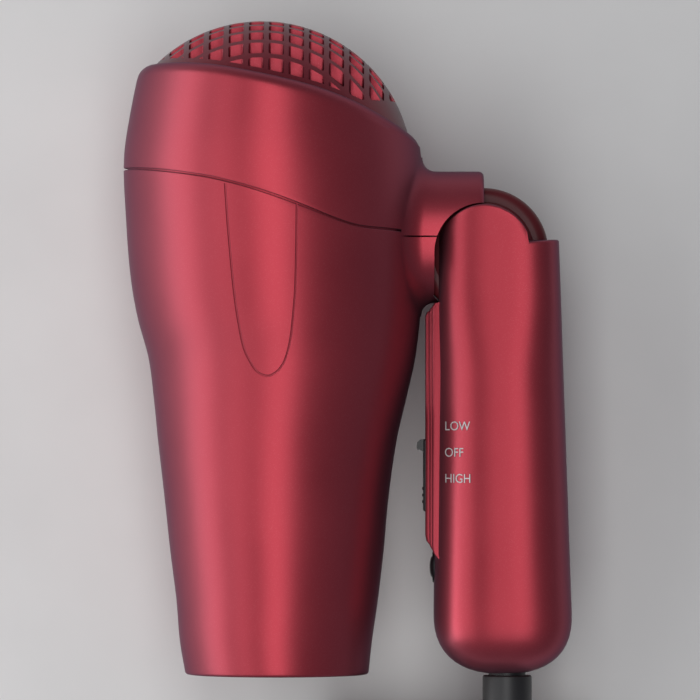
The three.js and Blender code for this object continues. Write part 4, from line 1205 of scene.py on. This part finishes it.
def declare_cord():
    cord, length = make_cord()
    on_it = [make_strain_relief(), make_tie()] + make_plug()
    on_it += [frame["nodes"][name] for name in (
        "plug_blade_neutral", "plug_blade_live", "plug_board", "test_button_spring", "reset_button_spring")]


declare_cord()


# ---------------- inside the barrel
def grow_round(obj, piece, count):
    """Adds evenly spaced copies of a piece round the barrel's axis."""
    values = {"Count": count, "Middle": place(0, 0, 0), "Material": SLOTS["black_plastic"]}
    return grown(obj, RING_OF, {"Piece": at_origin(piece)}, values)


def grille_ring(outer, inner, low, high, edge=0.35):
    profile = [(inner, low + edge), (inner + edge, low), (outer - edge, low), (outer, low + edge),
               (outer, high - edge), (outer - edge, high), (inner + edge, high), (inner, high - edge)]
    return lathe("ring", profile, "y")


def make_outlet_grille():
    """Four rings on eight spokes, inside the nozzle."""
    low, high = box_mm("outlet_grille")
    reach = high.x
    rings = [grille_ring(outer, inner, low.y, high.y)
             for outer, inner in ((reach, reach - 1.6), (15.2, 13.9), (9.9, 8.6), (4.2, 0.01))]
    spoke = rounded_box("spoke", (3.4, low.y + 0.3, -0.55), (reach - 0.8, high.y - 0.2, 0.55), 0.25)
    grille = grow_round(joined("outlet_grille_moulded", rings), spoke, 8)
    keep(grille, "barrel", "black_plastic", ["outlet_grille"])


FAN_MIDDLE = 116.2  # y of the blades' middle
BLADE_ROOT, BLADE_TIP = 11.8, 29.2
BLADE_BACK = 121.6
BLADE_PITCH, PITCH_LOSS = 52, 1.1  # degrees at the hub, and degrees less per mm out
BLADE_CHORD, CHORD_GAIN = 11, 0.2  # mm, and mm more per mm out
HUB_RADIUS = 11.5


def fan_blade(front):
    """One twisted, cambered blade, trimmed in front and behind."""
    loops = []
    for k in range(13):
        r = BLADE_ROOT + (BLADE_TIP - BLADE_ROOT) * k / 12
        pitch = radians(BLADE_PITCH - PITCH_LOSS * (r - HUB_RADIUS))
        chord = BLADE_CHORD + CHORD_GAIN * (r - HUB_RADIUS)
        section = []
        for i in range(20):
            t = 2 * pi * i / 20
            u = cos(t) * chord / 2
            v = sin(t) * 0.55 + 0.9 * sin(t) ** 2
            y = FAN_MIDDLE + u * cos(pitch) - v * sin(pitch)
            section.append((r, min(max(y, front), BLADE_BACK), u * sin(pitch) + v * cos(pitch)))
        loops.append(section)
    return loops_object("blade", loops, 60)


def make_fan():
    low, high = box_mm("fan_impeller")
    hub = [(1.2, low.y), (12.3, low.y), (12.5, low.y + 0.3), (12.5, 117.4), (12.1, 118.6), (10.9, 120.2),
           (9.0, 121.5), (6.4, 122.5), (3.5, 122.95), (1.2, high.y)]
    fan = grow_round(lathe("fan_wheel", hub, "y"), fan_blade(low.y + 0.2), 7)
    keep(fan, "fan", "black_plastic", ["fan_impeller"])


WINDING_RADIUS = 0.85


def make_heater_coils():
    """Fine wire wound into a helix that itself runs round the mica frame."""
    turns, windings, steps = 5, 210, 9
    for node in ("heater_coil_front", "heater_coil_rear"):
        low, high = box_mm(node)
        radius = high.x - 1.2
        start, end = low.y + 1.25, high.y - 1.25
        points = []
        for k in range(windings * steps + 1):
            t = k / (windings * steps)
            round_frame, round_wire = 2 * pi * turns * t, 2 * pi * windings * t
            r = radius + WINDING_RADIUS * cos(round_wire)
            y = start + (end - start) * t + WINDING_RADIUS * sin(round_wire)
            points.append((r * cos(round_frame), y, r * sin(round_frame)))
        keep(tube_along(node + "_wound", points, 0.3, 5), "barrel", "heating_wire", [node])


make_outlet_grille()
make_fan()
make_heater_coils()


# ---------------- the rest of the model
def finish_cad_nodes():
    """Every CAD node still shown gets its slot's finish."""
    shown = {row["node"]: row["material_slot"] for row in frame["record"]["subparts"]}
    for name, obj in frame["nodes"].items():
        if not obj.hide_render:
            obj.data.materials.clear()
            obj.data.materials.append(SLOTS[shown[name]])


PRESSES = [  # spring, joint, axis, the end that stays put, and the travel in mm
    ("cool_shot_spring", "cool_shot_press", "x", "high", 1.2),
    ("test_button_spring", "test_press", "z", "low", 0.8),
    ("reset_button_spring", "reset_press", "z", "low", 0.8)]


def squash_springs():
    """Gives each button's spring its own copy of its mesh."""
    for node, joint, axis, held, travel in PRESSES:
        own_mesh(frame["nodes"][node])


finish_cad_nodes()
squash_springs()
